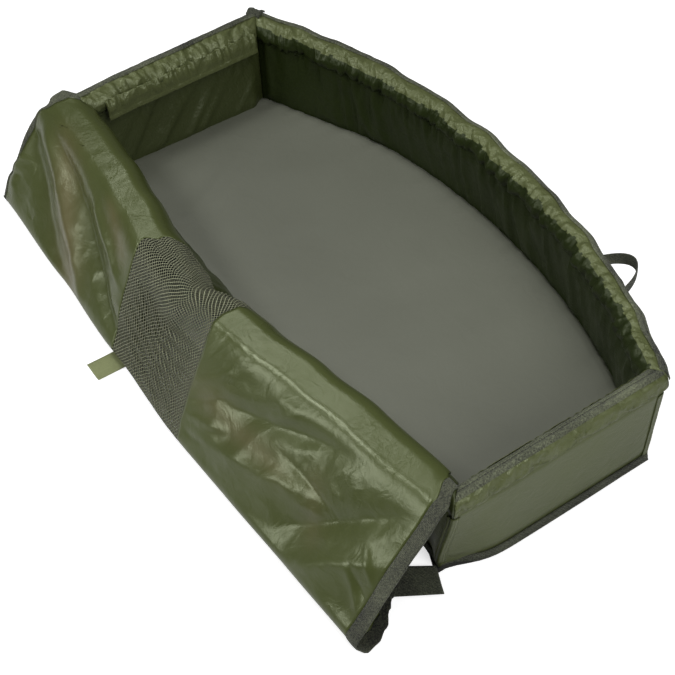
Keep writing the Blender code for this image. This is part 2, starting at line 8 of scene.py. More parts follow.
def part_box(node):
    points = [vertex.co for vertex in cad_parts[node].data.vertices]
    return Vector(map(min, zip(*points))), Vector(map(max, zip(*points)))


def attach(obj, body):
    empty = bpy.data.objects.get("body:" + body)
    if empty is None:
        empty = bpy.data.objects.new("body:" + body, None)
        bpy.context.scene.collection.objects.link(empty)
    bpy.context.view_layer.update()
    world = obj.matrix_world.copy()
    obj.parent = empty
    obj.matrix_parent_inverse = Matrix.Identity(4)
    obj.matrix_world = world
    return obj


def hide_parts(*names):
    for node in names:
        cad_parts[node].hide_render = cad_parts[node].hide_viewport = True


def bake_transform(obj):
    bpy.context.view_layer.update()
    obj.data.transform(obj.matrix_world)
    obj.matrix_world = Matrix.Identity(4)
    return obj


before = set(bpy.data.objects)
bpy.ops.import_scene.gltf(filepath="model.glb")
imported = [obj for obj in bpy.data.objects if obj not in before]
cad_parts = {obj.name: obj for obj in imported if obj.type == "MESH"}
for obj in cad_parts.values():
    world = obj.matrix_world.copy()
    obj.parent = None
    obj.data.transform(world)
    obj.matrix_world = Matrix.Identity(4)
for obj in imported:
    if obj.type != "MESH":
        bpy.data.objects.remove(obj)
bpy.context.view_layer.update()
scene = bpy.context.scene
print("frame loaded")

# camera, floor and light

cameraView = {
    "turn": 57.45, "height": 47.72, "tilt": -3.46, "distance": 2.444,
    "target": (0.0745, -0.0687, 0.05), "focalPixels": 1689, "imagePixels": 675, "sensor": 36.0,
}


def addCamera(view):
    turn, height, tilt = (radians(view[key]) for key in ("turn", "height", "tilt"))
    back = Vector((sin(turn) * cos(height), -cos(turn) * cos(height), sin(height)))
    right = Vector((cos(turn), sin(turn), 0.0))
    up = back.cross(right)
    tiltedRight = right * cos(tilt) + up * sin(tilt)
    tiltedUp = up * cos(tilt) - right * sin(tilt)
    data = bpy.data.cameras.new("photoCamera")
    data.sensor_fit, data.sensor_width = "HORIZONTAL", view["sensor"]
    data.lens = view["sensor"] * view["focalPixels"] / view["imagePixels"]
    data.clip_end = 50
    camera = bpy.data.objects.new("photoCamera", data)
    scene.collection.objects.link(camera)
    turned = Matrix((tiltedRight, tiltedUp, back)).transposed().to_4x4()
    camera.matrix_world = Matrix.Translation(Vector(view["target"]) + back * view["distance"]) @ turned
    scene.camera = camera


lightPlan = {
    "sky": 0.1, "floorColour": (0.86, 0.86, 0.86, 1), "floorRoughness": 0.9, "floorGlow": 0.66, "floorHalf": 6,
    "lamps": (  # name, place, aim, width, length, watts
        ("overhead", (0.42, 0.0, 1.35), (0.15, 0.0, 0.05), 0.9, 0.9, 6.0),
        ("glint", (-1.1, -0.22, 1.9), (0.1, -0.2, 0.18), 0.5, 1.1, 7.5),
        ("crestGlow", (-0.8, -1.12, 1.66), (0.4, -0.22, 0.18), 0.42, 0.42, 11),
        ("nearSide", (2.25, -0.05, 1.75), (0.25, -0.05, 0.1), 1.2, 1.2, 28),
        ("coverSide", (-0.7, -2.3, 1.15), (0.0, -0.25, 0.1), 0.9, 0.9, 15),
    ),
}
white = (1, 1, 1, 1)


def feed(tree, node, values):
    # sets a socket to a constant, or links another node's socket to it
    for label, value in values.items():
        if isinstance(value, bpy.types.NodeSocket):
            tree.links.new(value, node.inputs[label])
        else:
            node.inputs[label].default_value = value


def addNode(tree, kind, values=None, **settings):
    node = tree.nodes.new("ShaderNode" + kind)
    for name, setting in settings.items():
        setattr(node, name, setting)
    feed(tree, node, values or {})
    return node


def newMaterial(name):
    material = bpy.data.materials.new(name)
    material.use_nodes = True
    return material, material.node_tree, material.node_tree.nodes["Principled BSDF"]


def addStage(plan):
    world = bpy.data.worlds.new("softWorld")
    world.use_nodes = True
    tree = world.node_tree
    sky = tree.nodes["Background"]
    feed(tree, sky, {"Color": white, "Strength": plan["sky"]})
    backdrop = addNode(tree, "Background", {"Color": white})
    seen = addNode(tree, "LightPath").outputs["Is Camera Ray"]
    mix = addNode(tree, "MixShader", {0: seen, 1: sky.outputs[0], 2: backdrop.outputs[0]})
    feed(tree, tree.nodes["World Output"], {"Surface": mix.outputs[0]})
    scene.world = world
    for name, place, aim, width, length, watts in plan["lamps"]:
        data = bpy.data.lights.new(name, "AREA")
        data.shape, data.size, data.size_y, data.energy = "ELLIPSE", width, length, watts
        lamp = bpy.data.objects.new(name, data)
        scene.collection.objects.link(lamp)
        lamp.location = place
        lamp.rotation_euler = (Vector(aim) - Vector(place)).to_track_quat("-Z", "Y").to_euler()
    material, tree, shader = newMaterial("studioFloorPaint")
    rays = addNode(tree, "LightPath").outputs
    # the floor doesn't glow where it is seen through the net
    direct = addNode(tree, "Math", {0: rays["Is Camera Ray"], 1: rays["Transparent Depth"]}, operation="GREATER_THAN")
    glow = addNode(tree, "Math", {0: direct.outputs[0], 1: plan["floorGlow"]}, operation="MULTIPLY")
    feed(tree, shader, {"Base Color": plan["floorColour"], "Roughness": plan["floorRoughness"],
                        "Emission Color": white, "Emission Strength": glow.outputs[0]})
    bm = bmesh.new()
    bmesh.ops.create_grid(bm, x_segments=1, y_segments=1, size=plan["floorHalf"])
    floor = finishMesh(bm, "studioFloor", [material], smooth=False)


# shader groups shared by the cloths

def newGroup(name, inputs, outputs):
    tree = bpy.data.node_groups.new(name, "ShaderNodeTree")
    kinds = {"v": "NodeSocketVector", "c": "NodeSocketColor", "f": "NodeSocketFloat"}
    for direction, sockets in (("INPUT", inputs), ("OUTPUT", outputs)):
        for label, kind in sockets.items():
            tree.interface.new_socket(label, in_out=direction, socket_type=kinds[kind])
    entry, leave = tree.nodes.new("NodeGroupInput"), tree.nodes.new("NodeGroupOutput")

    def math(operation, *values):
        return addNode(tree, "Math", dict(enumerate(values)), operation=operation).outputs[0]

    return tree, entry.outputs, leave, math


def noiseFrom(tree, place, scale, detail, distortion=0.0):
    values = {"Vector": place, "Scale": scale, "Detail": detail, "Distortion": distortion}
    return addNode(tree, "TexNoise", values).outputs["Fac"]


def weaveGroup():
    # plain weave of threads, Pitch metres apart, on the piece's own cloth map
    tree, given, leave, math = newGroup("threadWeave", {"Cloth": "v", "Pitch": "f"}, {"Height": "f"})
    spots = addNode(tree, "SeparateXYZ", {0: given["Cloth"]}).outputs
    step = math("DIVIDE", pi, given["Pitch"])
    across, along = (math("SINE", math("MULTIPLY", spots[axis], step)) for axis in (0, 1))
    over = math("GREATER_THAN", math("MULTIPLY", across, along), 0.0)
    under = math("SUBTRACT", 1.0, over)
    upper = math("MULTIPLY", math("ABSOLUTE", across), over)
    lower = math("MULTIPLY", math("ABSOLUTE", along), under)
    feed(tree, leave, {"Height": math("ADD", upper, lower)})
    return tree


def wrinkleGroup():
    # soft buckles and fine crumples
    tree, given, leave, math = newGroup("clothWrinkles", {"Place": "v", "Scale": "f"}, {"Height": "f"})
    broad = noiseFrom(tree, given["Place"], given["Scale"], 3, 0.8)
    fine = noiseFrom(tree, given["Place"], math("MULTIPLY", given["Scale"], 3.7), 4, 1.5)
    ridges, small = (math("ABSOLUTE", math("SUBTRACT", height, 0.5)) for height in (broad, fine))
    valleys = math("ADD", ridges, math("MULTIPLY", small, 0.3))
    feed(tree, leave, {"Height": math("SUBTRACT", 1.0, valleys)})
    return tree


def toneGroup():
    # dye that varies a little, worn paler in patches
    tree, given, leave, math = newGroup(
        "clothTone", {"Colour": "c", "Place": "v", "Variation": "f"}, {"Colour": "c", "Patch": "f"})
    wide, speck = (noiseFrom(tree, given["Place"], scale, detail) for scale, detail in ((9, 3), (420, 2)))
    mixed = math("ADD", math("SUBTRACT", wide, 0.5), math("MULTIPLY", math("SUBTRACT", speck, 0.5), 0.9))
    factor = math("ADD", 1.0, math("MULTIPLY", mixed, given["Variation"]))
    scaled = addNode(tree, "VectorMath", {0: given["Colour"], "Scale": factor}, operation="SCALE")
    feed(tree, leave, {"Colour": scaled.outputs[0], "Patch": wide})
    return tree


def stitchGroup():
    # one row of stitches along the cloth map's length, Line metres across it
    tree, given, leave, math = newGroup(
        "stitchRow", {"Cloth": "v", "Line": "f", "Pitch": "f", "Width": "f"}, {"Mask": "f", "Pull": "f"})
    spots = addNode(tree, "SeparateXYZ", {0: given["Cloth"]}).outputs
    off = math("ABSOLUTE", math("SUBTRACT", spots[1], given["Line"]))
    inside = math("LESS_THAN", off, given["Width"])
    dash = math("LESS_THAN", math("FRACT", math("DIVIDE", spots[0], given["Pitch"])), 0.68)
    near = math("DIVIDE", off, math("MULTIPLY", given["Width"], 5.0))
    pull = addNode(tree, "Clamp", {0: near})
    feed(tree, leave, {"Mask": math("MULTIPLY", inside, dash), "Pull": pull.outputs[0]})
    return tree


def netGroup():
    # knotless net: crossed threads with a hole in each cell
    tree, given, leave, math = newGroup(
        "netCells", {"Cloth": "v", "Pitch": "f", "Open": "f"}, {"Thread": "f", "Height": "f"})
    spots = addNode(tree, "SeparateXYZ", {0: given["Cloth"]}).outputs
    step = math("DIVIDE", pi, given["Pitch"])
    ways = [math("MULTIPLY", math(sign, spots[0], spots[1]), step) for sign in ("ADD", "SUBTRACT")]
    cell = math("MINIMUM", *(math("ABSOLUTE", math("SINE", way)) for way in ways))
    feed(tree, leave, {"Thread": math("LESS_THAN", cell, given["Open"]), "Height": math("SUBTRACT", 1.0, cell)})
    return tree


groups = {"weave": weaveGroup(), "wrinkles": wrinkleGroup(), "tone": toneGroup(),
          "stitch": stitchGroup(), "net": netGroup()}

# colour, roughness, sheen, colour variation, wrinkle scale and depth, thread pitch and depth
clothLooks = {
    "shellNylon": ((0.082, 0.096, 0.036), 0.34, 0.0, 0.35, 26, 0.002, 0.0009, 0.00003),
    "liningNylon": ((0.034, 0.042, 0.013), 0.32, 0.0, 0.3, 18, 0.004, 0.0009, 0.00002),
    # the lining cloth made darker: painted shade for the front wall's inner side and rim
    "paintedShadeLining": ((0.015, 0.022, 0.005), 0.36, 0.0, 0.3, 18, 0.004, 0.0009, 0.00002),
    "coverNylon": ((0.058, 0.07, 0.021), 0.28, 0.0, 0.22, 6, 0.004, 0.0008, 0.00001),
    "lightNylon": ((0.09, 0.104, 0.04), 0.28, 0.0, 0.45, 34, 0.004, 0.0009, 0.00002),
    "tabNylon": ((0.205, 0.226, 0.106), 0.45, 0.05, 0.35, 30, 0.001, 0.0012, 0.0001),
    "floorVinyl": ((0.14, 0.147, 0.113), 0.52, 0.02, 0.1, 7, 0.002, 0.001, 0.00002),
    "webbing": ((0.052, 0.058, 0.035), 0.75, 0.1, 3.2, 60, 0.0004, 0.0024, 0.0008),
    "bindingTape": ((0.066, 0.072, 0.044), 0.75, 0.1, 3.2, 60, 0.0004, 0.0022, 0.0007),
    "rimTapeCloth": ((0.085, 0.094, 0.056), 0.7, 0.1, 3.6, 60, 0.0004, 0.0024, 0.0008),
    "baseCloth": ((0.024, 0.025, 0.02), 0.6, 0.05, 0.6, 40, 0.0008, 0.0014, 0.0003),
}
# gloss: how strongly each mirrors, the colour the dyed coating gives it, and how far the roughness strays
clothGloss = {"level": 0.5, "levels": {"paintedShadeLining": 0.28, "stripNylon": 0.35}, "tint": (0.92, 1.0, 0.72, 1),
              "smoother": 0.07, "rougher": 0.1, "sheenRoughness": 0.4}
# colour of the painted brownish reflection on the cover
paintedReflectionColour = (0.105, 0.092, 0.04)
seamThread = {"pitch": 0.0038, "halfWidth": 0.0006, "colour": (0.2, 0.22, 0.13), "pull": 0.0012}


def groupNode(tree, key, **values):
    return addNode(tree, "Group", values, node_tree=groups[key]).outputs


def mixColours(tree, share, first, second):
    return addNode(tree, "Mix", {"Factor": share, "A": first, "B": second}, data_type="RGBA").outputs["Result"]


def bumped(tree, height, depth, normal=None):
    values = {"Distance": depth, "Height": height}
    if normal is not None:
        values["Normal"] = normal
    return addNode(tree, "Bump", values).outputs[0]


def clothMaterial(name, look, seams=(), threadColour=seamThread["colour"]):
    colour, roughness, sheen, variation, wrinkleScale, wrinkleDepth, pitch, threadDepth = look
    material, tree, shader = newMaterial(name)
    place = addNode(tree, "TexCoord").outputs["Object"]
    cloth = addNode(tree, "UVMap", uv_map="cloth").outputs[0]
    tone = groupNode(tree, "tone", Colour=(*colour, 1), Place=place, Variation=variation)
    base = tone["Colour"]
    if name == "coverNylon":
        # the cover mixes in a painted brownish reflection, stored as a value on each point
        paintedReflection = addNode(tree, "Attribute", attribute_name="paintedReflection").outputs["Fac"]
        base = mixColours(tree, paintedReflection, base, (*paintedReflectionColour, 1))
    weave = groupNode(tree, "weave", Cloth=cloth, Pitch=pitch)["Height"]
    wrinkles = groupNode(tree, "wrinkles", Place=place, Scale=wrinkleScale)["Height"]
    dull = addNode(tree, "MapRange", {"Value": tone["Patch"], "To Min": roughness - clothGloss["smoother"],
                                      "To Max": roughness + clothGloss["rougher"]})
    normal = bumped(tree, weave, threadDepth, bumped(tree, wrinkles, wrinkleDepth))
    for line in seams:
        row = groupNode(tree, "stitch", Cloth=cloth, Line=line, Pitch=seamThread["pitch"],
                        Width=seamThread["halfWidth"])
        base = mixColours(tree, row["Mask"], base, (*threadColour, 1))
        normal = bumped(tree, row["Pull"], seamThread["pull"], normal)
    feed(tree, shader, {
        "Base Color": base, "Roughness": dull.outputs[0], "Normal": normal, "Sheen Weight": sheen,
        "Sheen Roughness": clothGloss["sheenRoughness"],
        "Specular IOR Level": clothGloss["levels"].get(name, clothGloss["level"])})
    if name.endswith("Nylon") or name == "paintedShadeLining":
        shader.inputs["Specular Tint"].default_value = clothGloss["tint"]
    return material


netLook = {"colour": (0.007, 0.008, 0.005, 1), "pale": (0.42, 0.44, 0.27, 1), "pitch": 0.0056, "open": 0.6,
           "knotsFrom": 0.62, "roughness": 0.6, "depth": 0.0012}


def netMaterial(name, look):
    material, tree, shader = newMaterial(name)
    cloth = addNode(tree, "UVMap", uv_map="cloth").outputs[0]
    net = groupNode(tree, "net", Cloth=cloth, Pitch=look["pitch"], Open=look["open"])
    knots = addNode(tree, "MapRange", {"Value": net["Height"], "From Min": look["knotsFrom"]}).outputs[0]
    feed(tree, shader, {
        "Base Color": mixColours(tree, knots, look["colour"], look["pale"]), "Roughness": look["roughness"],
        "Alpha": net["Thread"], "Normal": bumped(tree, net["Height"], look["depth"])})
    return material


# mesh helpers

def finishMesh(bm, name, materials, smooth=True):
    mesh = bpy.data.meshes.new(name)
    bm.to_mesh(mesh)
    bm.free()
    for material in materials:
        mesh.materials.append(material)
    if smooth:
        mesh.shade_smooth()
    piece = bpy.data.objects.new(name, mesh)
    scene.collection.objects.link(piece)
    return piece


def mappedGrid(columns, rows, place, finishAt=None):
    # a grid whose points go where place(u, v) says; place also gives the cloth map's metres
    bm = bmesh.new()
    bmesh.ops.create_grid(bm, x_segments=columns, y_segments=rows, size=0.5)
    shares = {vert: (vert.co.x + 0.5, vert.co.y + 0.5) for vert in bm.verts}
    spots = {vert: place(u, v) for vert, (u, v) in shares.items()}
    layer = bm.loops.layers.uv.new("cloth")
    for face in bm.faces:
        for loop in face.loops:
            loop[layer].uv = spots[loop.vert][1]
        if finishAt:
            middle = [sum(shares[vert][axis] for vert in face.verts) / len(face.verts) for axis in (0, 1)]
            face.material_index = finishAt(*middle)
    for vert, (point, _) in spots.items():
        vert.co = point
    return bm, shares


def weldRound(bm, shares):
    # joins the grid's last row to its first
    first, last = (sorted((v for v in bm.verts if abs(shares[v][1] - end) < 1e-6), key=lambda v: shares[v][0])
                   for end in (0, 1))
    bmesh.ops.weld_verts(bm, targetmap=dict(zip(last, first)))


def closeRound(bm, shares):
    weldRound(bm, shares)
    bmesh.ops.holes_fill(bm, edges=[edge for edge in bm.edges if edge.is_boundary], sides=0)
    bmesh.ops.recalc_face_normals(bm, faces=bm.faces)


def addTube(name, columns, rows, place, materials, finishAt=None, holdAt=None, plan=None):
    bm, shares = mappedGrid(columns, rows, place, finishAt)
    closeRound(bm, shares)
    held = [holdAt(*shares[vert]) for vert in bm.verts] if holdAt else None
    piece = finishMesh(bm, name, materials)
    if held:
        swellCloth(piece, held, plan)
    return piece


def addSheet(name, columns, rows, place, materials, thickness):
    bm, _ = mappedGrid(columns, rows, place)
    bmesh.ops.recalc_face_normals(bm, faces=bm.faces)
    piece = finishMesh(bm, name, materials)
    solid = piece.modifiers.new("thickness", "SOLIDIFY")
    solid.thickness, solid.offset = thickness, 0.0
    bakeModifiers(piece)
    return piece


def bakeModifiers(piece):
    evaluated = piece.evaluated_get(bpy.context.evaluated_depsgraph_get())
    mesh = bpy.data.meshes.new_from_object(evaluated)
    old = piece.data
    piece.modifiers.clear()
    piece.data = mesh
    bpy.data.meshes.remove(old)
    mesh.shade_smooth()


def register(piece, body, slot, *nodes):
    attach(piece, body)
    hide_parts(*nodes)


# padded cloth; slack is how much longer the cloth is than the shape it is sewn to
swellPlan = {"frames": 20, "pressure": 4.0, "slack": 0.07, "cap": 0.0045, "tension": 12, "bending": 0.02,
             "mass": 0.15, "quality": 5}


def swellCloth(piece, held, plan):
    # lets a padded skin swell and buckle between its seams; held gives each point's hold, 0 free to 1 sewn
    mesh = piece.data
    before = [vert.co.copy() for vert in mesh.vertices]
    seams = piece.vertex_groups.new(name="seams")
    for index, hold in enumerate(held):
        seams.add([index], hold, "REPLACE")
    cloth = piece.modifiers.new("swell", "CLOTH")
    settings = cloth.settings
    settings.vertex_group_mass = "seams"
    settings.use_pressure, settings.uniform_pressure_force = True, plan["pressure"]
    settings.shrink_min, settings.mass, settings.quality = -plan["slack"], plan["mass"], plan["quality"]
    settings.tension_stiffness = settings.compression_stiffness = settings.shear_stiffness = plan["tension"]
    settings.bending_stiffness = plan["bending"]
    settings.effector_weights.gravity = 0
    cloth.collision_settings.use_collision = cloth.collision_settings.use_self_collision = False
    cloth.point_cache.frame_start, cloth.point_cache.frame_end = 1, plan["frames"]
    for frameNumber in range(1, plan["frames"] + 1):
        scene.frame_set(frameNumber)
    evaluated = piece.evaluated_get(bpy.context.evaluated_depsgraph_get())
    after = [vert.co.copy() for vert in evaluated.data.vertices]
    piece.modifiers.clear()
    piece.vertex_groups.clear()
    scene.frame_set(1)
    moves = []
    for vert, old, new in zip(mesh.vertices, before, after):
        move = new - old
        moves.append(move.length)
        if move.length > plan["cap"]:
            move *= plan["cap"] / move.length
        vert.co = old + move
    mesh.update()
    print(piece.name, "swelled by up to", round(max(moves), 4), "mean", round(sum(moves) / len(moves), 5))


def wander(a, b, seed):
    return noise.noise(Vector((a, b, seed)))


def ridge(a, b, seed):
    # sharp crests with round valleys between, about -1 to 1
    return 1 - 4 * abs(wander(a, b, seed))


def smoothStep(value, low=0.0, high=1.0):
    share = min(1.0, max(0.0, (value - low) / (high - low)))
    return share * share * (3 - 2 * share)


def band(value, low, high, fallLow, fallHigh):
    # rises from low to high and falls from fallLow to fallHigh
    return smoothStep(value, low, high) * (1 - smoothStep(value, fallLow, fallHigh))


def hump(value, middle, reach):
    share = abs(value - middle) / reach
    return 0.5 + 0.5 * cos(pi * share) if share < 1 else 0.0


# plan of the walls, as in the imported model

shape = {
    "halfLength": 0.48, "halfWidth": 0.165, "bulge": 0.11, "height": 0.19, "lean": 0.012,
    "skin": 0.0105, "foot": 0.0018, "coreTop": 0.166, "floorTop": 0.0376, "cornerGap": 0.0003,
    "rimHalfWidth": 0.025, "rimHalfHeight": 0.024, "rimCentre": 0.1637, "slotHalf": 0.0111,
    "trimTop": 0.0158,
}
frontRadius = (shape["halfLength"] ** 2 + shape["bulge"] ** 2) / (2 * shape["bulge"])
frontCentre = shape["halfWidth"] + shape["bulge"] - frontRadius
rearY = -shape["halfWidth"]
rimFoot = shape["rimCentre"] - shape["rimHalfHeight"] * sqrt(1 - (shape["slotHalf"] / shape["rimHalfWidth"]) ** 2)


def leanAt(height):
    return -shape["lean"] * (1 - height / shape["height"])


def cornerY(outset):
    reach = shape["halfLength"] + outset
    return frontCentre + sqrt((frontRadius + outset) ** 2 - reach**2)


# how the tops of the walls stray from the plan: the rear crest's bow at places along it, in metres
rearBow = ((-0.5, 0.008), (-0.41, 0.012), (-0.316, 0.018), (-0.232, 0.028), (-0.148, 0.04), (-0.07, 0.046),
           (-0.028, 0.056), (0.004, 0.044), (0.032, 0.036), (0.098, 0.031), (0.206, 0.019), (0.308, 0.009),
           (0.45, 0.003))
topStray = {"bowHeight": 0.165, "bowPower": 1.6, "bowDip": 0.35, "frontWave": 0.005, "frontWaves": 22,
            "nearDrop": 0.0036}
cornerTuck = {"at": (0.4786, -0.1632), "by": (-0.025, -0.011), "reach": 0.038, "trimReach": 0.034,
              "trimDepth": 0.0045}


def rearLean(x, height):
    # the cover's weight draws the rear wall's top outwards
    return valueAt(rearBow, x) * (max(0.0, height) / topStray["bowHeight"]) ** topStray["bowPower"]


def leaned(x, y, height):
    weight = 1 - smoothStep(y - rearY, 0.015, 0.07)
    dip = topStray["bowDip"] * valueAt(rearBow, x) * smoothStep(height, 0.09, 0.16)
    return tucked(Vector((x, y - rearLean(x, height) * weight, height - dip * weight)))


def tucked(point):
    # the near rear corner's foot is drawn in
    look = cornerTuck
    gap = hypot(point.x - look["at"][0], point.y - look["at"][1]) / look["reach"]
    weight = exp(-gap * gap) * (1 - smoothStep(point.z, 0.0, 0.185))
    return Vector((point.x + look["by"][0] * weight, point.y + look["by"][1] * weight, point.z))


def planPoint(side, share, outset, trim=0.0):
    longHalf, rearLine = shape["halfLength"] + outset, rearY - outset
    if side == "rear":
        return (2 * share - 1) * (longHalf - trim), rearLine
    if side == "front":
        radius = frontRadius + outset
        angle = (1 - 2 * share) * (asin(longHalf / radius) - trim / radius)
        return radius * sin(angle), frontCentre + radius * cos(angle)
    low, high = rearLine + trim, cornerY(outset) - trim
    if side == "right":
        return longHalf, low + (high - low) * share
    return -longHalf, high + (low - high) * share


def wallPoint(side, share, outset, height):
    if side == "front":
        wave = topStray["frontWave"] * wander(share * topStray["frontWaves"], 0.5, 77.0)
        outset += wave * smoothStep(height, 0.1, 0.17) * fadeAtEnds(side, share)
    x, y = planPoint(side, share, outset + leanAt(height), shape["cornerGap"])
    if side == "right":
        height -= topStray["nearDrop"] * smoothStep(height, 0.12, 0.18)
    return leaned(x, y, height)


def pointAlong(side, distance, outset, height):
    if side == "rear":
        return Vector((distance, rearY - outset - rearLean(distance, height), height))
    angle = distance / frontRadius
    radius = frontRadius + outset
    return Vector((radius * sin(angle), frontCentre + radius * cos(angle), height))


wallLengths = {"rear": 2 * shape["halfLength"], "right": 2 * shape["halfWidth"], "left": 2 * shape["halfWidth"],
               "front": 2 * frontRadius * asin(shape["halfLength"] / frontRadius)}
endFade = 0.018  # metres over which puckers die away towards a corner


def fadeAtEnds(side, share):
    along = min(share, 1 - share) * wallLengths[side]
    return smoothStep(along, 0.0, endFade)


def valueAt(points, x):
    # eased value between (place, value) pairs
    if x <= points[0][0]:
        return points[0][1]
    for (x0, y0), (x1, y1) in zip(points, points[1:]):
        if x <= x1:
            return y0 + (y1 - y0) * smoothStep(x, x0, x1)
    return points[-1][1]


def sectionWalk(points):
    # place on a closed section at a share of its way round
    lengths = [hypot(b[0] - a[0], b[1] - a[1]) for a, b in zip(points, points[1:])]
    total = sum(lengths)

    def at(share):
        way = share * total
        for (a, b), size in zip(zip(points, points[1:]), lengths):
            if way <= size or b is points[-1]:
                part = min(1.0, way / size)
                return a[0] + (b[0] - a[0]) * part, a[1] + (b[1] - a[1]) * part
            way -= size

    return at, total


# folds of the lining, which run from the rim down to the floor

liningLook = {
    # pitch, slant, depth of the folds, depth of the small gathers under the rim
    "front": (0.03, 0.12, 0.0062, 0.0034), "left": (0.04, -1.05, 0.006, 0.0012),
    "right": (0.05, -0.3, 0.0008, 0.0002), "rear": (0.05, 0.2, 0.003, 0.0014),
    "seeds": {"rear": 3.7, "right": 8.7, "left": 13.7, "front": 18.7},
}


def liningFold(side, along, height):
    pitch, slant, depth, gather = liningLook[side]
    seed = liningLook["seeds"][side]
    across = (along + slant * (0.19 - height)) / pitch
    fold = max(-0.4, ridge(across, height / 0.22, seed)) * (0.6 + 0.5 * wander(along / 0.12, 0.3, seed + 1))
    hung = smoothStep(height, 0.085, 0.15)
    return depth * fold + gather * hung * ridge(along / 0.0115, height / 0.1, seed + 2)


# wall pads: foam board in its sewn skins

wallPadLook = {
    "outerPuff": 0.0024, "innerPuff": 0.0022, "columnStep": 0.005, "rows": 72,
    # heights between which the puff begins and ends, outside and inside, and the lining's foot comes back
    "outerRise": (0.015, 0.032), "groove": (0.15, 0.159), "innerRise": (-0.006, 0.012), "innerFall": (0.15, 0.163),
    "footFall": (0.028, 0.135),
    # the seam's groove under the rim: depth, height, reach; and the shares of the section that are lining
    "grooveDip": (0.0022, 0.16, 0.012), "lining": (0.47, 0.97),
    # how far the lining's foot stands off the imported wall: place along the wall, metres inwards
    "foot": {"front": ((0.0, 0.0), (0.1, -0.0125), (0.72, -0.013), (0.9, 0.0)),
             "left": ((0.0, 0.017), (0.5, 0.013), (1.0, 0.006)), "right": ((0.0, 0.0),), "rear": ((0.0, 0.0),)},
}


def makeWallPad(side, materials):
    look = wallPadLook
    skin, foot, top = shape["skin"], shape["foot"], shape["coreTop"]
    corners = [(skin, foot), (skin, top), (-skin, top), (-skin, foot), (skin, foot)]
    walk, around = sectionWalk(corners)
    length = wallLengths[side]
    seed = liningLook["seeds"][side] + 20

    def place(u, v):
        outset, height = walk(v)
        along = u * length
        fade = fadeAtEnds(side, u)
        if outset > 0:
            rise = band(height, *look["outerRise"], *look["groove"])
            dip, middle, reach = look["grooveDip"]
            outset -= dip * hump(height, middle, reach)
            outset += fade * rise * look["outerPuff"] * (1 + 0.5 * wander(along / 0.09, height / 0.07, seed))
        else:
            low, high = (shape["floorTop"] + part for part in look["innerRise"])
            rise = band(height, low, high, *look["innerFall"])
            puff = 0.0 if side == "right" else look["innerPuff"]
            outset -= fade * rise * (puff + liningFold(side, along, height))
            outset -= fade * valueAt(look["foot"][side], u) * (1 - smoothStep(height, *look["footFall"]))
        return wallPoint(side, u, outset, height), (along, v * around)

    columns = round(length / look["columnStep"])
    low, high = look["lining"]
    piece = addTube(f"{side}WallPad", columns, look["rows"], place, materials, lambda u, v: int(low < v < high))
    register(piece, "mat", "shell_nylon", f"{side}_wall_core", f"{side}_wall_lining", f"{side}_wall_outer")


# rims: gathered tubes of pale nylon over the top of each wall

rimLook = {
    "columnStep": 0.0042, "rows": 50, "slotRows": 6, "slotDepth": 0.01, "slotGap": 0.0004,
    "puckerPitch": 0.0125, "puckerDepth": 0.0019, "finePitch": 0.0062, "fineShare": 0.4, "slant": 0.00006,
    "broadDepth": 0.0016, "broadPitch": 0.05, "foldShare": {"right": 0.1}, "deepest": -0.002,
    # where the puckers stand round the rim: weight, angle, reach
    "puckers": {"right": ((0.9, 45, 30), (0.15, 150, 40))},
    "otherPuckers": ((1, 118, 40), (0.75, 20, 34), (0.5, 160, 30)),
    # half widths outside and inside: place along the wall, metres
    "outer": {"front": ((0.0, 0.014), (0.35, 0.013), (0.62, 0.014), (0.8, 0.0175), (1.0, 0.015)),
              "left": ((0.0, 0.015), (1.0, 0.015)), "right": ((0.0, 0.015), (0.15, 0.015), (1.0, 0.015)),
              "rear": ((0.0, 0.015), (0.1, 0.0118), (0.9, 0.0118), (1.0, 0.015))},
    "inner": {"front": ((0.0, 0.019), (1.0, 0.0205)), "left": ((0.0, 0.0205), (1.0, 0.0205)),
              "right": ((0.0, 0.019), (0.12, 0.014), (0.88, 0.014), (1.0, 0.019)),
              "rear": ((0.0, 0.0205), (0.42, 0.014), (0.52, 0.014), (1.0, 0.02))},
    # angle where the dark lining begins (on the front wall, the lining with painted shade): right or rear end of the
    # wall, the other end
    "darkFrom": {"front": (122, 144), "left": (176, 176), "right": (122, 122), "rear": (150, 150)},
    # half widths where the outside and the inside meet the wall, and the length of the rim's round part
    "outerFoot": 0.0112, "innerFoot": 0.0135, "arcLength": 0.118,
}


def rimSection(side, share, angle, swell=0.0):
    # outset and height of the rim's outside
    look = rimLook
    out, up = cos(angle), sin(angle)
    if out > 0:
        width = valueAt(look["outer"][side], share)
        if up < 0:
            width += (look["outerFoot"] - width) * smoothStep(-degrees(angle), 4, 24)
    else:
        width = valueAt(look["inner"][side], share)
        if up < 0:
            width += (look["innerFoot"] - width) * smoothStep(degrees(angle), 184, 222)
    outset = (width + swell) * (abs(out) ** 0.9) * (1 if out > 0 else -1)
    outset = max(-width - swell, min(width + swell, outset))
    if up < 0:
        outset = (1 if out > 0 else -1) * max(abs(outset), look["outerFoot"])
    height = shape["rimCentre"] + (shape["rimHalfHeight"] + swell) * up
    return outset, height


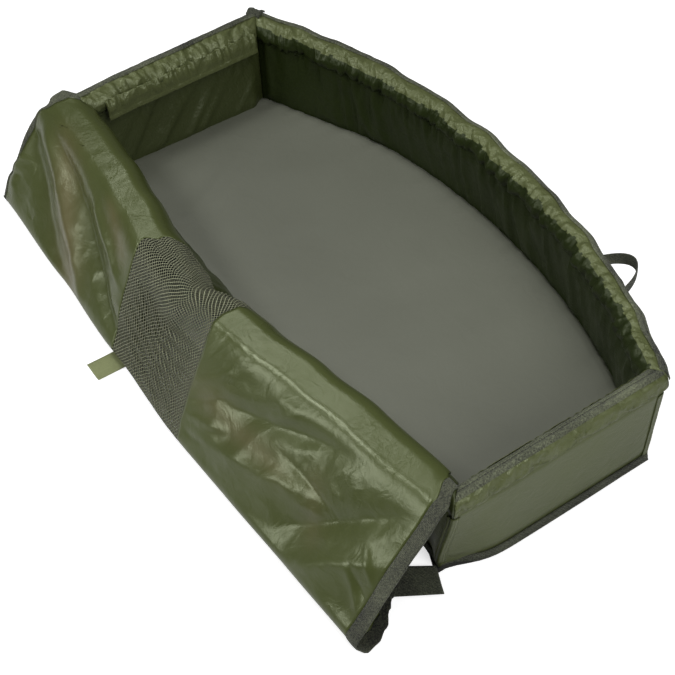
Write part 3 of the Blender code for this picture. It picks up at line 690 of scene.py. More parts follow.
def makeRim(side, materials):
    look = rimLook
    low = -acos(shape["slotHalf"] / shape["rimHalfWidth"])
    slotTop, slotDepth = shape["coreTop"] + look["slotGap"], look["slotDepth"]
    half = shape["slotHalf"]
    arcRows = look["rows"] - look["slotRows"]
    length = wallLengths[side]
    seed = liningLook["seeds"][side] + 40
    arcLength = look["arcLength"]

    def turnedAt(v):
        return degrees(low + (pi - 2 * low) * v * look["rows"] / arcRows)

    def edgeAt(u):
        near, far = look["darkFrom"][side]
        return near + (far - near) * smoothStep(u, 0.0, 0.45)

    def place(u, v):
        row = round(v * look["rows"])
        along = u * length
        if row <= arcRows:
            angle = low + (pi - 2 * low) * row / arcRows
            turned = degrees(angle)
            covered = band(turned, 20, 50, 195, 225) if side == "rear" else 0.0
            places = look["puckers"].get(side, look["otherPuckers"])
            deep = look["puckerDepth"] * sum(weight * hump(turned, at, reach) for weight, at, reach in places)
            lean = turned * look["slant"] * (1 if side != "left" else -1)
            pucker = deep * ridge((along + lean) / look["puckerPitch"], turned / 80, seed)
            pucker += look["fineShare"] * deep * ridge(along / look["finePitch"], turned / 50, seed + 3)
            broad = wander(along / look["broadPitch"], turned / 80, seed + 1)
            broad *= look["broadDepth"] * smoothStep(turned, -30, 0)
            inner = smoothStep(turned, 120, 165) * look["foldShare"].get(side, 0.8)
            folds = liningFold(side, along, shape["rimCentre"] + shape["rimHalfHeight"] * sin(angle))
            swell = fadeAtEnds(side, u) * (1 - covered) * (pucker + broad + inner * folds)
            outset, height = rimSection(side, u, angle, max(look["deepest"], swell))
            return wallPoint(side, u, outset, height), (along, arcLength * row / arcRows)
        slot = row - arcRows
        outset, height = {1: (-half, slotTop - slotDepth), 2: (-half, slotTop), 3: (0.0, slotTop),
                          4: (half, slotTop), 5: (half, slotTop - slotDepth)}.get(slot, rimSection(side, u, low))
        return wallPoint(side, u, outset, height), (along, arcLength + slotDepth * slot)

    def finishAt(u, v):
        edge = edgeAt(u)
        edge += 0 if side == "right" else 5 * ridge(u * length / look["puckerPitch"], 1.6, seed)
        return int(edge < turnedAt(v) < 250)

    def holdAt(u, v):
        turned, edge = turnedAt(v), edgeAt(u)
        inner = band(turned, 98, 108, 205, 225)
        outer = band(turned, -22, -10, 30, 42)
        seam = 0.5 * hump(turned, edge, 8) if edge < 170 else 0.0
        ends = smoothStep(min(u, 1 - u) * length, 0.002, 0.012)
        loose = (outer if side == "right" else max(inner, outer)) * ends * (1 - seam)
        return 1 - loose

    columns = round(length / look["columnStep"])
    plan = None if side == "rear" else swellPlan
    piece = addTube(f"{side}Rim", columns, look["rows"], place, materials, finishAt, holdAt if plan else None, plan)
    register(piece, "mat", "light_nylon", f"{side}_wall_rim")


# tape along the rims: two ribs with a seam between them, a little wavy

tapeLook = {
    "thickness": 0.0013, "rib": 0.001, "columnStep": 0.004, "columns": 14, "mapWidth": 0.019,
    # how far it strays sideways and over what lengths, how it bumps, and how high its underside and all of it lie
    "wave": 0.0014, "waveLengths": (0.045, 0.016), "bump": 0.0004, "bumpPitch": 0.03, "under": 0.0002,
    "clear": 0.0006,
    # from outset, to outset
    "edges": {"front": (0.001, 0.0132), "left": (-0.0035, 0.0125), "right": (-0.012, 0.007)},
}


def makeTape(side, material):
    look = tapeLook
    length = wallLengths[side]
    across = look["columns"]
    seed = liningLook["seeds"][side] + 60
    start, end = look["edges"][side]

    def place(u, v):
        row = round(v * 2 * (across + 1))
        along = u * length
        top = row > across
        part = min(1.0, max(0.0, (2 * across + 1 - row if top else row) / across))
        sway = look["wave"] * (0.5 if side == "right" else 1.0) * fadeAtEnds(side, u)
        wide, tight = look["waveLengths"]
        sway *= wander(along / wide, 0.5, seed) + 0.5 * wander(along / tight, 1.5, seed)
        outset = start + (end - start) * part + sway
        width = valueAt(rimLook["outer" if outset > 0 else "inner"][side], u)
        share = min(0.96, abs(outset) / width) ** (1 / 0.9)
        angle = acos(share if outset > 0 else -share)
        rib = look["rib"] * (abs(sin(2 * pi * part)) ** 0.6) * (1 + 0.4 * wander(along / 0.01, part * 3, seed))
        bump = look["bump"] * ridge(along / look["bumpPitch"], 0.5, seed + 2) * fadeAtEnds(side, u)
        swell = (look["thickness"] + rib if top and 0 < part < 1 else look["under"]) + max(0.0, bump) + look["clear"]
        outset, height = rimSection(side, u, angle, swell)
        return wallPoint(side, u, outset, height), (along, part * look["mapWidth"])

    piece = addTube(f"{side}RimTape", round(length / look["columnStep"]), 2 * (across + 1), place, [material])
    register(piece, "mat", "webbing", f"{side}_rim_tape")


knotLook = {"length": 0.024, "width": 0.017, "height": 0.0036, "pinch": 0.18, "lift": 0.0014, "droop": -0.004}


def makeKnot(material):
    look = knotLook
    low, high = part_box("rim_tape_knot")
    middle = (Vector(low) + Vector(high)) / 2
    slope = asin(shape["halfLength"] / frontRadius)
    along, across = Vector((cos(slope), sin(slope), 0)), Vector((-sin(slope), cos(slope), 0))
    bm = bmesh.new()
    bmesh.ops.create_cube(bm, size=1)
    bmesh.ops.subdivide_edges(bm, edges=bm.edges[:], cuts=7, use_grid_fill=True)
    layer = bm.loops.layers.uv.new("cloth")
    for vert in bm.verts:
        a, b, c = vert.co
        pinch = 1 - look["pinch"] * cos(2 * pi * a)
        lift = look["lift"] * ridge(a * 2.5, b * 1.5, 7.0)
        droop = look["droop"] * smoothStep(abs(b), 0.2, 0.5)
        up = Vector((0, 0, c * look["height"] + lift * (c > 0) + droop))
        vert.co = middle + along * a * look["length"] + across * b * look["width"] * pinch + up
    for face in bm.faces:
        for loop in face.loops:
            loop[layer].uv = ((loop.vert.co - middle).dot(along), (loop.vert.co - middle).dot(across))
    piece = finishMesh(bm, "rimTapeKnot", [material])
    register(piece, "mat", "webbing", "rim_tape_knot")


# base: underside cloth, edge trim and floor pad

baseLook = {
    "trimFlare": {"right": 0.0022}, "flare": 0.002, "clothHeight": 0.0009, "clothOverhang": 0.0038,
    "clothThickness": 0.0012, "floorDrop": 0.003, "floorCrown": 0.004, "gridX": 150, "gridY": 64,
    "ripple": 0.0007, "pucker": 0.001, "dimple": 0.0012, "sides": (0.006, 0.028), "bottom": 0.0022,
}
sides = ("rear", "right", "front", "left")
roundLength = sum(wallLengths.values())


def outlineAt(share, outset):
    # the whole plan as one ring from the rear left corner: the place, its wall and the share along that wall
    way = (share % 1.0) * roundLength
    for side in sides:
        if way <= wallLengths[side] or side == sides[-1]:
            local = min(1.0, way / wallLengths[side])
            return planPoint(side, local, outset), side, local
        way -= wallLengths[side]


def makeUnderside(material):
    outset = leanAt(shape["trimTop"]) + shape["skin"] + baseLook["clothOverhang"]

    def place(u, v):
        half = shape["halfLength"] + outset
        x = (2 * u - 1) * half
        rear = rearY - outset
        front = frontCentre + sqrt((frontRadius + outset) ** 2 - x * x)
        y = rear + (front - rear) * v
        return tucked(Vector((x, y, baseLook["clothHeight"]))), (x, y)

    piece = addSheet("undersideCloth", 60, 28, place, [material], baseLook["clothThickness"])
    register(piece, "mat", "base_cloth", "base_underside")


def makeBaseTrim(material):
    inner = leanAt(shape["trimTop"]) + shape["skin"] + 0.0004
    section = ((0.0, 0.002), (0.0034, 0.0019), (0.0036, 0.004), (0.0028, 0.0075), (0.0026, 0.0135),
               (0.0012, shape["trimTop"]), (0.0, 0.015), (0.0, 0.002))
    walk, around = sectionWalk([(inner + outset, height) for outset, height in section])

    def place(u, v):
        outset, height = walk(v)
        _, side, local = outlineAt(u, 0.0)
        if outset > inner + 0.0001:
            bulge = baseLook["trimFlare"].get(side, baseLook["flare"]) * max(0.0, sin(pi * local)) ** 0.6
            outset += bulge * (1 - smoothStep(height, 0.003, 0.012))
        (x, y), _, _ = outlineAt(u, outset)
        gap = hypot(x - cornerTuck["at"][0], y - cornerTuck["at"][1]) / cornerTuck["trimReach"]
        (x, y), _, _ = outlineAt(u, outset - cornerTuck["trimDepth"] * exp(-gap**4))
        return tucked(Vector((x, y, height))), (u * roundLength, v * around)

    bm, shares = mappedGrid(420, 14, place)
    weldRound(bm, shares)
    bmesh.ops.remove_doubles(bm, verts=bm.verts[:], dist=0.00005)
    bmesh.ops.recalc_face_normals(bm, faces=bm.faces)
    piece = finishMesh(bm, "baseTrim", [material])
    register(piece, "mat", "webbing", "base_edge_binding")


def placeKey(point):
    return (point.x * 100 + point.y) * 100 - point.z


def makeFloorPad(material):
    look = baseLook
    outset = leanAt(shape["floorTop"]) - shape["skin"] - 0.0004
    half = shape["halfLength"] + outset

    def place(u, v):
        x = (2 * u - 1) * half
        rear = rearY - outset
        share = 0.5 - asin(x / (frontRadius + outset)) / (2 * asin(shape["halfLength"] / frontRadius))
        wide = outset - valueAt(wallPadLook["foot"]["front"], share)
        front = frontCentre + sqrt((frontRadius + wide) ** 2 - x * x)
        y = rear + (front - rear) * v
        edge = min(half - abs(x), y - rear, (front - y) * 0.95)
        crown = look["floorCrown"] * (1 - (2 * u - 1) ** 2) * (1 - (2 * v - 1) ** 2)
        drop = look["floorDrop"] * (1 - smoothStep(edge, 0.0, 0.012))
        ripple = look["ripple"] * wander(x / 0.07, y / 0.16, 4.0) * smoothStep(edge, 0.01, 0.05)
        pucker = look["pucker"] * ridge(x / 0.03, 1.0, 6.0) * (1 - smoothStep(front - y, 0.004, 0.045))
        dimple = look["dimple"] * ridge(x / 0.05 + y / 0.09, 0.4, 15.0) * hump(x, -0.33, 0.13) * hump(y, -0.02, 0.12)
        return Vector((x, y, shape["floorTop"] + crown - drop + ripple + pucker + dimple)), (x, y)

    bm, _ = mappedGrid(look["gridX"], look["gridY"], place)
    edges = [edge for edge in bm.edges if edge.is_boundary]
    for depth in look["sides"]:
        made = bmesh.ops.extrude_edge_only(bm, edges=edges)["geom"]
        bmesh.ops.translate(bm, verts=[g for g in made if isinstance(g, bmesh.types.BMVert)], vec=(0, 0, -depth))
        edges = [g for g in made if isinstance(g, bmesh.types.BMEdge) and g.is_boundary]
    for vert in {vert for edge in edges for vert in edge.verts}:
        vert.co.z = look["bottom"]
    bmesh.ops.holes_fill(bm, edges=edges, sides=0)
    bmesh.ops.recalc_face_normals(bm, faces=bm.faces)
    # extruding gives the new parts another order on each run
    bm.verts.sort(key=lambda vert: placeKey(vert.co))
    bm.faces.sort(key=lambda face: placeKey(face.calc_center_median()))
    piece = finishMesh(bm, "floorPad", [material])
    register(piece, "mat", "floor_vinyl", "floor_panel", "base_foam_pad")


# corner strips: folded tape down the outside of each corner

stripLook = {"leg": 0.0115, "thickness": 0.001, "rows": 36, "columns": 14, "above": 0.0005, "overlap": 0.004,
             "outset": 0.0024, "waves": 0.0006, "bend": 0.0015}


def makeCornerStrip(side, nextSide, material):
    look = stripLook
    low, high = shape["trimTop"] + look["above"], rimFoot + look["overlap"]

    def place(u, v):
        height = low + (high - low) * v
        across = (2 * u - 1) * look["leg"]
        waves = look["waves"] * wander(across / 0.01, height / 0.03, 9.0)
        outset = leanAt(height) + shape["skin"] + look["outset"] + waves
        bend = look["bend"] * exp(-(across / 0.004) ** 2)
        if across < 0:
            x, y = planPoint(side, 1.0, outset - bend, -across)
        else:
            x, y = planPoint(nextSide, 0.0, outset - bend, across)
        return leaned(x, y, height), (height, across)

    name = f"{side}To{nextSide.capitalize()}CornerStrip"
    piece = addSheet(name, look["columns"], look["rows"], place, [material], look["thickness"])
    register(piece, "mat", "shell_nylon", f"corner_strip_{side}_{nextSide}")


# flaps over the inner side of the end walls' rims

flapLook = {"start": -0.133, "end": 0.145, "sewnAngle": 152, "hemHeight": 0.14, "hem": 0.006, "thickness": 0.0009,
            "seam": 0.004, "loose": {"left": 1.0, "right": 0.35},
            # how far it stands off the rim: at the seam, lower down, in the gathers, at the hem, in the hem's fold
            "stand": 0.0018, "fall": 0.0038, "gathers": 0.0024, "wave": 0.0016, "hemStep": 0.0009}


def makeFlap(part, mirror, material):
    look = flapLook
    width = rimLook["inner"][part][1][1]
    loose = look["loose"][part]
    centre, rise = shape["rimCentre"], shape["rimHalfHeight"]
    top = centre + rise * sin(radians(look["sewnAngle"]))
    drop = top - look["hemHeight"]

    def place(u, v):
        y = look["start"] + (look["end"] - look["start"]) * u
        height = top - drop * v
        turn = sqrt(max(0.0, 1 - ((height - centre) / rise) ** 2)) if height > centre else 1.0
        gathers = 1 - smoothStep(v, 0.15, 0.95)
        stand = look["fall"] * smoothStep(v, 0.0, 0.5)
        stand += look["gathers"] * gathers * (1 + ridge(y / 0.013, v * 0.7, 21.0 + mirror))
        stand += look["wave"] * (1 + wander(y / 0.045 + v * 0.4, v * 0.6, 22.0)) * v
        stand = look["stand"] + stand * loose
        stand += look["hemStep"] * smoothStep(v * drop, drop - look["hem"] - 0.0006, drop - look["hem"] + 0.0002)
        x = mirror * (shape["halfLength"] + leanAt(height) - width * turn - stand)
        return Vector((x, y, height)), (y, drop * v)

    piece = addSheet(f"{part}InnerFlap", 110, 24, place, [material], look["thickness"])
    register(piece, f"flap_{part}", "light_nylon", f"inner_flap_{part}")


# carry handles

handleLook = {
    "chord": 0.105, "flat": 0.014, "bulge": {"frontright": 0.054}, "restBulge": 0.021, "width": 0.022,
    "thickness": 0.0022, "middle": 0.272, "drop": {"front": 0.004, "rear": 0.022}, "overhang": 0.01,
    "backing": 0.0016, "lift": 0.014, "gap": 0.0003, "mapHalf": 0.075, "step": 0.002,
}


def makeHandle(side, part, sign, materials):
    look = handleLook
    top = rimFoot - look["drop"][side]
    surface = leanAt(top) + shape["skin"] + look["backing"] + 2 * look["gap"]
    middle = sign * look["middle"]
    free = 1 - 2 * look["flat"] / look["chord"]
    bulge = look["bulge"].get(side + part, look["restBulge"])
    lift = look["lift"] * (bulge / max(look["bulge"].values())) ** 2
    half = look["chord"] / 2 + look["overhang"]

    def bulgeAt(share):
        inside = 1 - (share / free) ** 2
        return bulge * inside**0.75 if inside > 0 else 0.0

    def place(u, v):
        share = 2 * u - 1
        turn = 2 * pi * v
        across = -look["width"] / 2 * cos(turn)
        thick = look["thickness"] / 2 * sin(turn) * (1 if abs(cos(turn)) < 0.9 else 0.7)
        step = look["step"]
        lean = (bulgeAt(share + step) - bulgeAt(share - step)) / (step * look["chord"])
        size = hypot(1, lean)
        outset = surface + look["thickness"] / 2 + bulgeAt(share) + thick / size
        distance = middle + share * look["chord"] / 2 - thick * lean / size * 0.9
        risen = lift * (bulgeAt(share) / bulge) ** 1.3
        height = top - look["width"] / 2 + across + risen
        return pointAlong(side, distance, outset, height), (share * look["mapHalf"], across)

    name = f"{side}{part.capitalize()}Handle"
    piece = addTube(name, 64, 12, place, [materials[0]])
    register(piece, f"handle_{side}_{part}", "webbing", f"{side}_handle_{part}")

    def placeBacking(u, v):
        distance = middle + (2 * u - 1) * half
        height = top - (look["width"] + 0.002) * v
        outset = leanAt(height) + shape["skin"] + look["gap"] + look["backing"] / 2
        return pointAlong(side, distance, outset, height), ((2 * u - 1) * half, v * look["width"])

    backing = addSheet(f"{name}Backing", 30, 8, placeBacking, [materials[1]], look["backing"] * 0.9)
    register(backing, "mat", "webbing", f"{side}_handle_backing_{part}")


# cover: sewn along the rear wall, thrown back over it and folded under

coverLook = {
    "left": -0.497, "right": 0.487, "binding": 0.02, "meshLeft": -0.13, "meshRight": 0.07,
    # metres of cloth along the section, and the waisted net's area
    "flatOver": 0.305, "flatUnder": 0.118, "netArea": 0.0533,
    # the crest's corner off the rim, how far past it the cloth has turned, and which path point is taken as the crest
    "crest": (0.04, -0.0082), "turnOver": 0.026, "crestFlat": 0.72, "crestIndex": 22,
    "thickness": 0.0009, "bindingThickness": 0.002, "bindingSwell": 0.0007, "columnStep": 0.0042,
    "bindingStep": 0.0025, "rows": 84, "underRows": 26, "foldZone": ((0, -0.33, 0.0115), (0, -0.33, 0.005)),
    "noseLine": ((-0.56, 0.131), (-0.48, 0.14), (-0.317, 0.153), (-0.133, 0.166), (0.065, 0.178),
                 (0.207, 0.177), (0.349, 0.175), (0.487, 0.1735)),
    "noseRadius": 0.014, "noseBottom": 0.0045, "split": -30, "lipFold": (0.057, 0.0026),
    # where the near and far edges lie: distance from the wall's line, metres along the mat
    "nearEdge": ((0.0, -0.012), (0.03, 0.006), (0.06, 0.009), (0.17, 0.009)),
    "farEdge": ((0.0, 0.008), (0.015, -0.01), (0.037, -0.016), (0.061, -0.038), (0.1, -0.039), (0.122, -0.052),
                (0.136, -0.046)),
    "nearUnder": ((0.057, -0.045), (0.088, -0.03), (0.1, -0.018), (0.12, 0.002), (0.142, 0.014), (0.165, 0.018),
                  (0.174, 0.01)),
    "farUnder": ((0.057, -0.03), (0.12, -0.045), (0.136, -0.046)),
    "startAngle": ((-0.47, 112), (-0.44, 190), (0.44, 190), (0.465, 108)), "leaveAngle": 84,
    # heights of the folds: wide waves, crumples, fine crumples, waves on the crest and under the fold
    "relief": {"soft": 0.004, "crumple": 0.0009, "fine": 0.0002, "crest": 0.0014, "under": 0.0012},
    # swags of the net: height, how far they sink, pitch, slant
    "swags": {"height": 0.004, "sink": 0.0025, "pitch": 0.027, "slant": 0.42},
    # the far edge curls down: how wide the curl is, how far it turns, its radius and its depth
    "curl": {"reach": 0.026, "turn": 1.25, "radius": 0.0208, "depth": 0.018},
    # the curved lip: half length, depth at its ends and what the middle has more, heights of cloth and binding
    "lip": {"half": 0.415, "end": 0.006, "bulge": 0.078, "flat": 0.084, "height": 0.0012, "thickness": 0.0008,
            "bindingFrom": 0.0003, "bindingWidth": 0.015, "bindingHeight": 0.0014, "bindingThickness": 0.0018},
}

# broad folds of the drape: from (place along, share of the way down) to the same, half width, height
coverFolds = (
    ((-0.505, 0.15), (-0.32, 0.9), 0.026, -0.009),
    ((-0.47, 0.02), (-0.23, 0.95), 0.024, 0.01),
    ((-0.45, 0.0), (-0.11, 0.85), 0.02, -0.01),
    ((-0.33, 0.1), (-0.15, 0.45), 0.016, 0.006),
    ((-0.51, 0.1), (-0.45, 0.95), 0.018, 0.006),
    ((0.13, 0.45), (0.27, 0.2), 0.02, -0.007),
    ((0.11, 0.8), (0.33, 0.5), 0.022, 0.007),
    ((0.26, 0.22), (0.37, 0.06), 0.016, -0.006),
    ((0.2, 0.15), (0.3, 0.02), 0.014, 0.005),
    ((0.3, 0.8), (0.44, 0.2), 0.018, -0.008),
    ((0.34, 0.95), (0.455, 0.5), 0.016, 0.007),
)
# patches of painted brownish reflection: as above, with how strongly each is painted
coverPaintedReflections = (
    ((-0.43, 0.05), (-0.26, 0.9), 0.03, 0.95), ((-0.265, 0.2), (-0.168, 0.46), 0.013, 0.7),
    ((0.06, 0.66), (0.28, 0.58), 0.022, 0.6), ((0.3, 0.35), (0.36, 0.75), 0.02, 0.35),
)
# short crisp creases by the seams and the bindings
coverCreases = (
    ((0.075, 0.5), (0.13, 0.2), 0.005, 0.0022), ((0.078, 0.62), (0.14, 0.38), 0.005, -0.0022),
    ((0.08, 0.74), (0.15, 0.6), 0.006, 0.0024), ((0.082, 0.86), (0.13, 0.8), 0.005, -0.0018),
    ((0.46, 0.62), (0.425, 0.45), 0.005, 0.0022), ((0.462, 0.72), (0.42, 0.6), 0.005, -0.002),
    ((0.464, 0.82), (0.43, 0.66), 0.005, 0.0022), ((0.3, 0.6), (0.345, 0.55), 0.006, 0.002),
    ((0.25, 0.42), (0.36, 0.47), 0.005, -0.0016), ((0.2, 0.3), (0.235, 0.16), 0.006, 0.0022),
    ((-0.48, 0.55), (-0.45, 0.5), 0.006, 0.0024), ((-0.483, 0.75), (-0.455, 0.66), 0.006, -0.0024),
    ((-0.484, 0.88), (-0.462, 0.78), 0.006, 0.0022), ((-0.478, 0.3), (-0.452, 0.3), 0.006, -0.002),
)
slopeLength = 0.235
paintedReflectionZone = {"from": 0.045, "length": 0.135, "above": 0.008}  # out from the wall's line, and the lowest height that gets the painted reflection


def strokeDepth(strokes, x, share):
    depth = 0.0
    for (x0, s0), (x1, s1), width, deep in strokes:
        alongX, alongS = x1 - x0, (s1 - s0) * slopeLength
        size = hypot(alongX, alongS)
        gapX, gapS = x - x0, (share - s0) * slopeLength
        part = (gapX * alongX + gapS * alongS) / size**2
        if -0.25 < part < 1.25:
            off = abs(gapX * alongS - gapS * alongX) / size
            ends = band(part, -0.2, 0.3, 0.75, 1.2)
            depth += deep * ends * exp(-((off / width) ** 1.5))
    return depth


def between(a, b, share):
    return tuple(p + (q - p) * share for p, q in zip(a, b))


def coverPath(x):
    # the cloth's line across the mat: over the rim, down the slope, round the nose and back under
    look = coverLook
    share = min(1.0, max(0.0, (x / shape["halfLength"] + 1) / 2))
    start, leave, bow = valueAt(look["startAngle"], x), look["leaveAngle"], valueAt(rearBow, x)
    points = []
    for step in range(15):
        angle = radians(start + (leave - start) * step / 14)
        outset, height = rimSection("rear", share, angle, 0.0022)
        points.append((outset + leanAt(height) + rearLean(x, height), height - topStray["bowDip"] * bow))
    ends = smoothStep(x, 0.38, 0.487) + smoothStep(-x, 0.4, 0.497)
    first = points[-1]
    crest = (first[0] + look["crest"][0] - 0.01 * ends, first[1] + look["crest"][1] + 0.003 * ends)
    radius, bottom = look["noseRadius"], look["noseBottom"]
    centre = (valueAt(look["noseLine"], x) - radius, bottom + radius)
    gapX, gapZ = centre[0] - crest[0], centre[1] - crest[1]
    size = hypot(gapX, gapZ)
    slope = atan2(gapZ, gapX) + asin(radius / size)

    def down(way):
        return crest[0] + cos(slope) * way, crest[1] + sin(slope) * way

    def atNose(turn):
        return centre[0] + radius * cos(turn), centre[1] + radius * sin(turn)

    level, onSlope = between(first, crest, look["crestFlat"]), down(look["turnOver"])
    points += [between(first, level, step / 6) for step in range(1, 7)]
    points += [between(between(level, crest, step / 10), between(crest, onSlope, step / 10), step / 10)
               for step in range(1, 11)]
    straight = sqrt(size**2 - radius**2) - look["turnOver"]
    points += [down(look["turnOver"] + straight * step / 8) for step in range(1, 9)]
    turnStart, turnEnd = pi / 2 + slope, radians(look["split"])
    points += [atNose(turnStart + (turnEnd - turnStart) * step / 8) for step in range(1, 9)]
    under = [atNose(turnEnd - (pi / 2 + turnEnd) * step / 8) for step in range(9)]
    under += [between((centre[0], bottom), look["lipFold"], step / 6) for step in range(1, 7)]
    return points, under


def measured(points):
    ways = [0.0]
    for a, b in zip(points, points[1:]):
        ways.append(ways[-1] + hypot(b[0] - a[0], b[1] - a[1]))
    return ways


def alongPath(points, ways, share):
    way = share * ways[-1]
    index = next((i for i in range(1, len(ways)) if ways[i] >= way), len(ways) - 1)
    a, b = points[index - 1], points[index]
    size = ways[index] - ways[index - 1]
    part = (way - ways[index - 1]) / size if size else 0.0
    normal = Vector((-(b[1] - a[1]), b[0] - a[0])) / size
    return a[0] + (b[0] - a[0]) * part, a[1] + (b[1] - a[1]) * part, normal, way


pathStore = {}


def pathsAt(x):
    key = round(x, 5)
    if key not in pathStore:
        upper, under = coverPath(x)
        pathStore[key] = (upper, measured(upper), under, measured(under))
    return pathStore[key]


def smoothNormal(points, ways, share):
    total = Vector((0.0, 0.0))
    for shift in (-0.014, 0.0, 0.014):
        total += alongPath(points, ways, min(1.0, max(0.0, share + shift)))[2]
    return total.normalized()


# how far the seams beside the net stray from straight: distance from the wall's line, metres along the mat
netSeams = {
    "left": ((0.03, 0.006), (0.056, -0.01), (0.075, -0.028), (0.098, -0.02), (0.12, -0.017), (0.144, -0.01),
             (0.168, 0.0)),
    "right": ((0.024, -0.019), (0.044, -0.027), (0.065, -0.032), (0.08, -0.031), (0.09, -0.027), (0.114, -0.019),
              (0.136, -0.015), (0.16, -0.009), (0.178, 0.0)),
}


def seamShift(x, w):
    left, right = (valueAt(netSeams[part], w) for part in ("left", "right"))
    share = (x - coverLook["meshLeft"]) / (coverLook["meshRight"] - coverLook["meshLeft"])
    if share < 0:
        return left * (1 - smoothStep(-share, 0.0, 0.6))
    return left + (right - left) * share if share < 1 else right * (1 - smoothStep(share, 1.0, 1.8))


def edgeShift(x, w, under):
    look = coverLook
    near = smoothStep(x, 0.38, 0.487) * valueAt(look["nearUnder" if under else "nearEdge"], w)
    reach = 0.3 if under or w > 0.05 else 0.4
    far = smoothStep(-x, reach, 0.497) * valueAt(look["farUnder" if under else "farEdge"], w)
    return near + far + (0.0 if under else seamShift(x, w))


def curlAt(x):
    # how far the far edge's curl has turned at x, and how far it draws the cloth in
    curl = coverLook["curl"]
    beyond = max(0.0, (coverLook["left"] + curl["reach"] - x) / curl["reach"])
    turn = curl["turn"] * min(1.0, beyond)
    return turn, curl["reach"] * beyond - curl["radius"] * sin(turn)


def coverRelief(x, s, crestStart, total):
    # height of folds above the plain path; s is the way along the cloth in metres
    look, folds, swags = coverLook, coverLook["relief"], coverLook["swags"]
    share = (s - crestStart) / (total - crestStart)
    onSlope = band(share, 0.02, 0.25, 0.86, 1.0)
    top = band(share, -0.25, -0.05, 0.05, 0.3)
    soft = folds["soft"] * (wander(x / 0.11 + share * 0.9, share * 1.6, 2.0) - 0.15)
    crumple = folds["crumple"] * ridge(x / 0.06 + share * 1.4, share * 3.2, 5.0)
    fine = folds["fine"] * ridge(x / 0.016 + share * 2.0, share * 9, 6.0)
    relief = onSlope * (soft + crumple + fine + strokeDepth(coverFolds, x, share))
    relief += folds["crest"] * wander(x / 0.09, share * 2, 9.0) * top
    relief += strokeDepth(coverCreases, x, share) * band(share, 0.0, 0.1, 0.9, 1.0)
    meshPart = (x - look["meshLeft"]) / (look["meshRight"] - look["meshLeft"])
    if 0 < meshPart < 1:
        window = sin(pi * meshPart) ** 0.7
        sunk = band(share, 0.08, 0.28, 0.86, 1.0)
        way = (share * slopeLength - swags["slant"] * (x - look["meshLeft"])) / swags["pitch"]
        way += 0.5 * wander(x / 0.05, share * 2, 15.0)
        swag = swags["height"] * sin(2 * pi * way) * (0.6 + 0.4 * wander(x / 0.03, share * 2, 14.0))
        relief += window * sunk * (swag - swags["sink"])
    return relief - look["curl"]["depth"] * (1 - cos(curlAt(x)[0])) * smoothStep(share, -0.15, 0.2)


def placeCover(x, v, lift):
    points, ways, _, _ = pathsAt(x)
    points, ways, _, _ = pathsAt(round(x + seamShift(x, alongPath(points, ways, v)[0]), 4))
    w, z, _, s = alongPath(points, ways, v)
    normal = smoothNormal(points, ways, v)
    push = coverRelief(x, s, ways[coverLook["crestIndex"]], ways[-1]) + lift
    w, z = w + normal[0] * push, z + normal[1] * push
    shift = edgeShift(x, w, False) + curlAt(x)[1] * smoothStep(s, 0.02, 0.05)
    return Vector((x + shift, rearY - w, z)), (x, s)


def placeUnder(x, v):
    _, topWays, points, ways = pathsAt(x)
    w, z, _, s = alongPath(points, ways, v)
    atSplit = edgeShift(x, points[0][0], False)
    shift = atSplit + (edgeShift(x, w, True) - atSplit) * smoothStep(v, 0.0, 0.12)
    shift += curlAt(x)[1] * (1 - smoothStep(v, 0.0, 0.3))
    ripple = coverLook["relief"]["under"] * (1 + wander(x / 0.04, v * 3, 12.0)) * smoothStep(v, 0.15, 0.4)
    return Vector((x + shift, rearY - w, max(0.001, z + ripple))), (x, topWays[-1] + s)


def lipDepth(x):
    lip = coverLook["lip"]
    return lip["end"] + lip["bulge"] * (1 - (x / lip["half"]) ** 2)


def placeLip(x, depth, height):
    out, fold = coverLook["lipFold"]
    rise = (fold - height) * (1 - smoothStep(depth, 0.0, 0.004))
    return Vector((x, rearY - out - depth, height + rise)), (x, depth)


# where the cloth leaves the rim's top: place along the mat, distance out from the wall's line
leaveLine = {"left": ((-0.477, 0.013), (-0.13, 0.0525)), "mesh": ((-0.13, 0.0525), (0.07, 0.0437)),
             "right": ((0.07, 0.0437), (0.487, 0.0063))}

swing = {"after": 0.005, "reach": 0.046, "height": 0.18}


def swingZone(part):
    # two points of the zone: just past the cloth's leaving line, and the reach further out from it
    (x0, w0), (x1, w1) = leaveLine[part]
    steep = (w1 - w0) / (x1 - x0)
    size = hypot(1, steep)
    start = Vector((x0, rearY - w0 - swing["after"], swing["height"]))
    return tuple(start), tuple(start + Vector((-steep, -1, 0)) / size * swing["reach"] / size)


def addStrip(part, start, end, names, nodes, finish, slot, thickness, step, swell):
    # a strip of the cover, in two pieces: what lies over the wall, and what is folded under
    look = coverLook

    def placeOver(x, v):
        return placeCover(x, v, swell * (1 - abs(2 * (x - start) / (end - start) - 1) ** 3))

    layers = ((placeOver, look["rows"], ("mat", "cover_upper"), swingZone(part), look["flatOver"]),
              (placeUnder, look["underRows"], ("cover_upper", "cover_lower"), look["foldZone"], look["flatUnder"]))
    columns = max(5, round((end - start) / step))
    for name, replaced, (place, rows, bodies, zone, length) in zip(names, nodes, layers):
        piece = addSheet(name, columns, rows, lambda u, v: place(start + (end - start) * u, v), [finish], thickness)
        # each point's share of the painted brownish reflection
        paintedReflection = piece.data.attributes.new("paintedReflection", "FLOAT", "POINT")
        for vert, spot in zip(piece.data.vertices, paintedReflection.data):
            share = (rearY - vert.co.y - paintedReflectionZone["from"]) / paintedReflectionZone["length"]
            reflectionShare = min(1.0, strokeDepth(coverPaintedReflections, vert.co.x, share))
            spot.value = reflectionShare if vert.co.z > paintedReflectionZone["above"] else 0.0
        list(bodies)
        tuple(zone[0])
        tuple(zone[1])
        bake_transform(piece)
        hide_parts(*replaced)


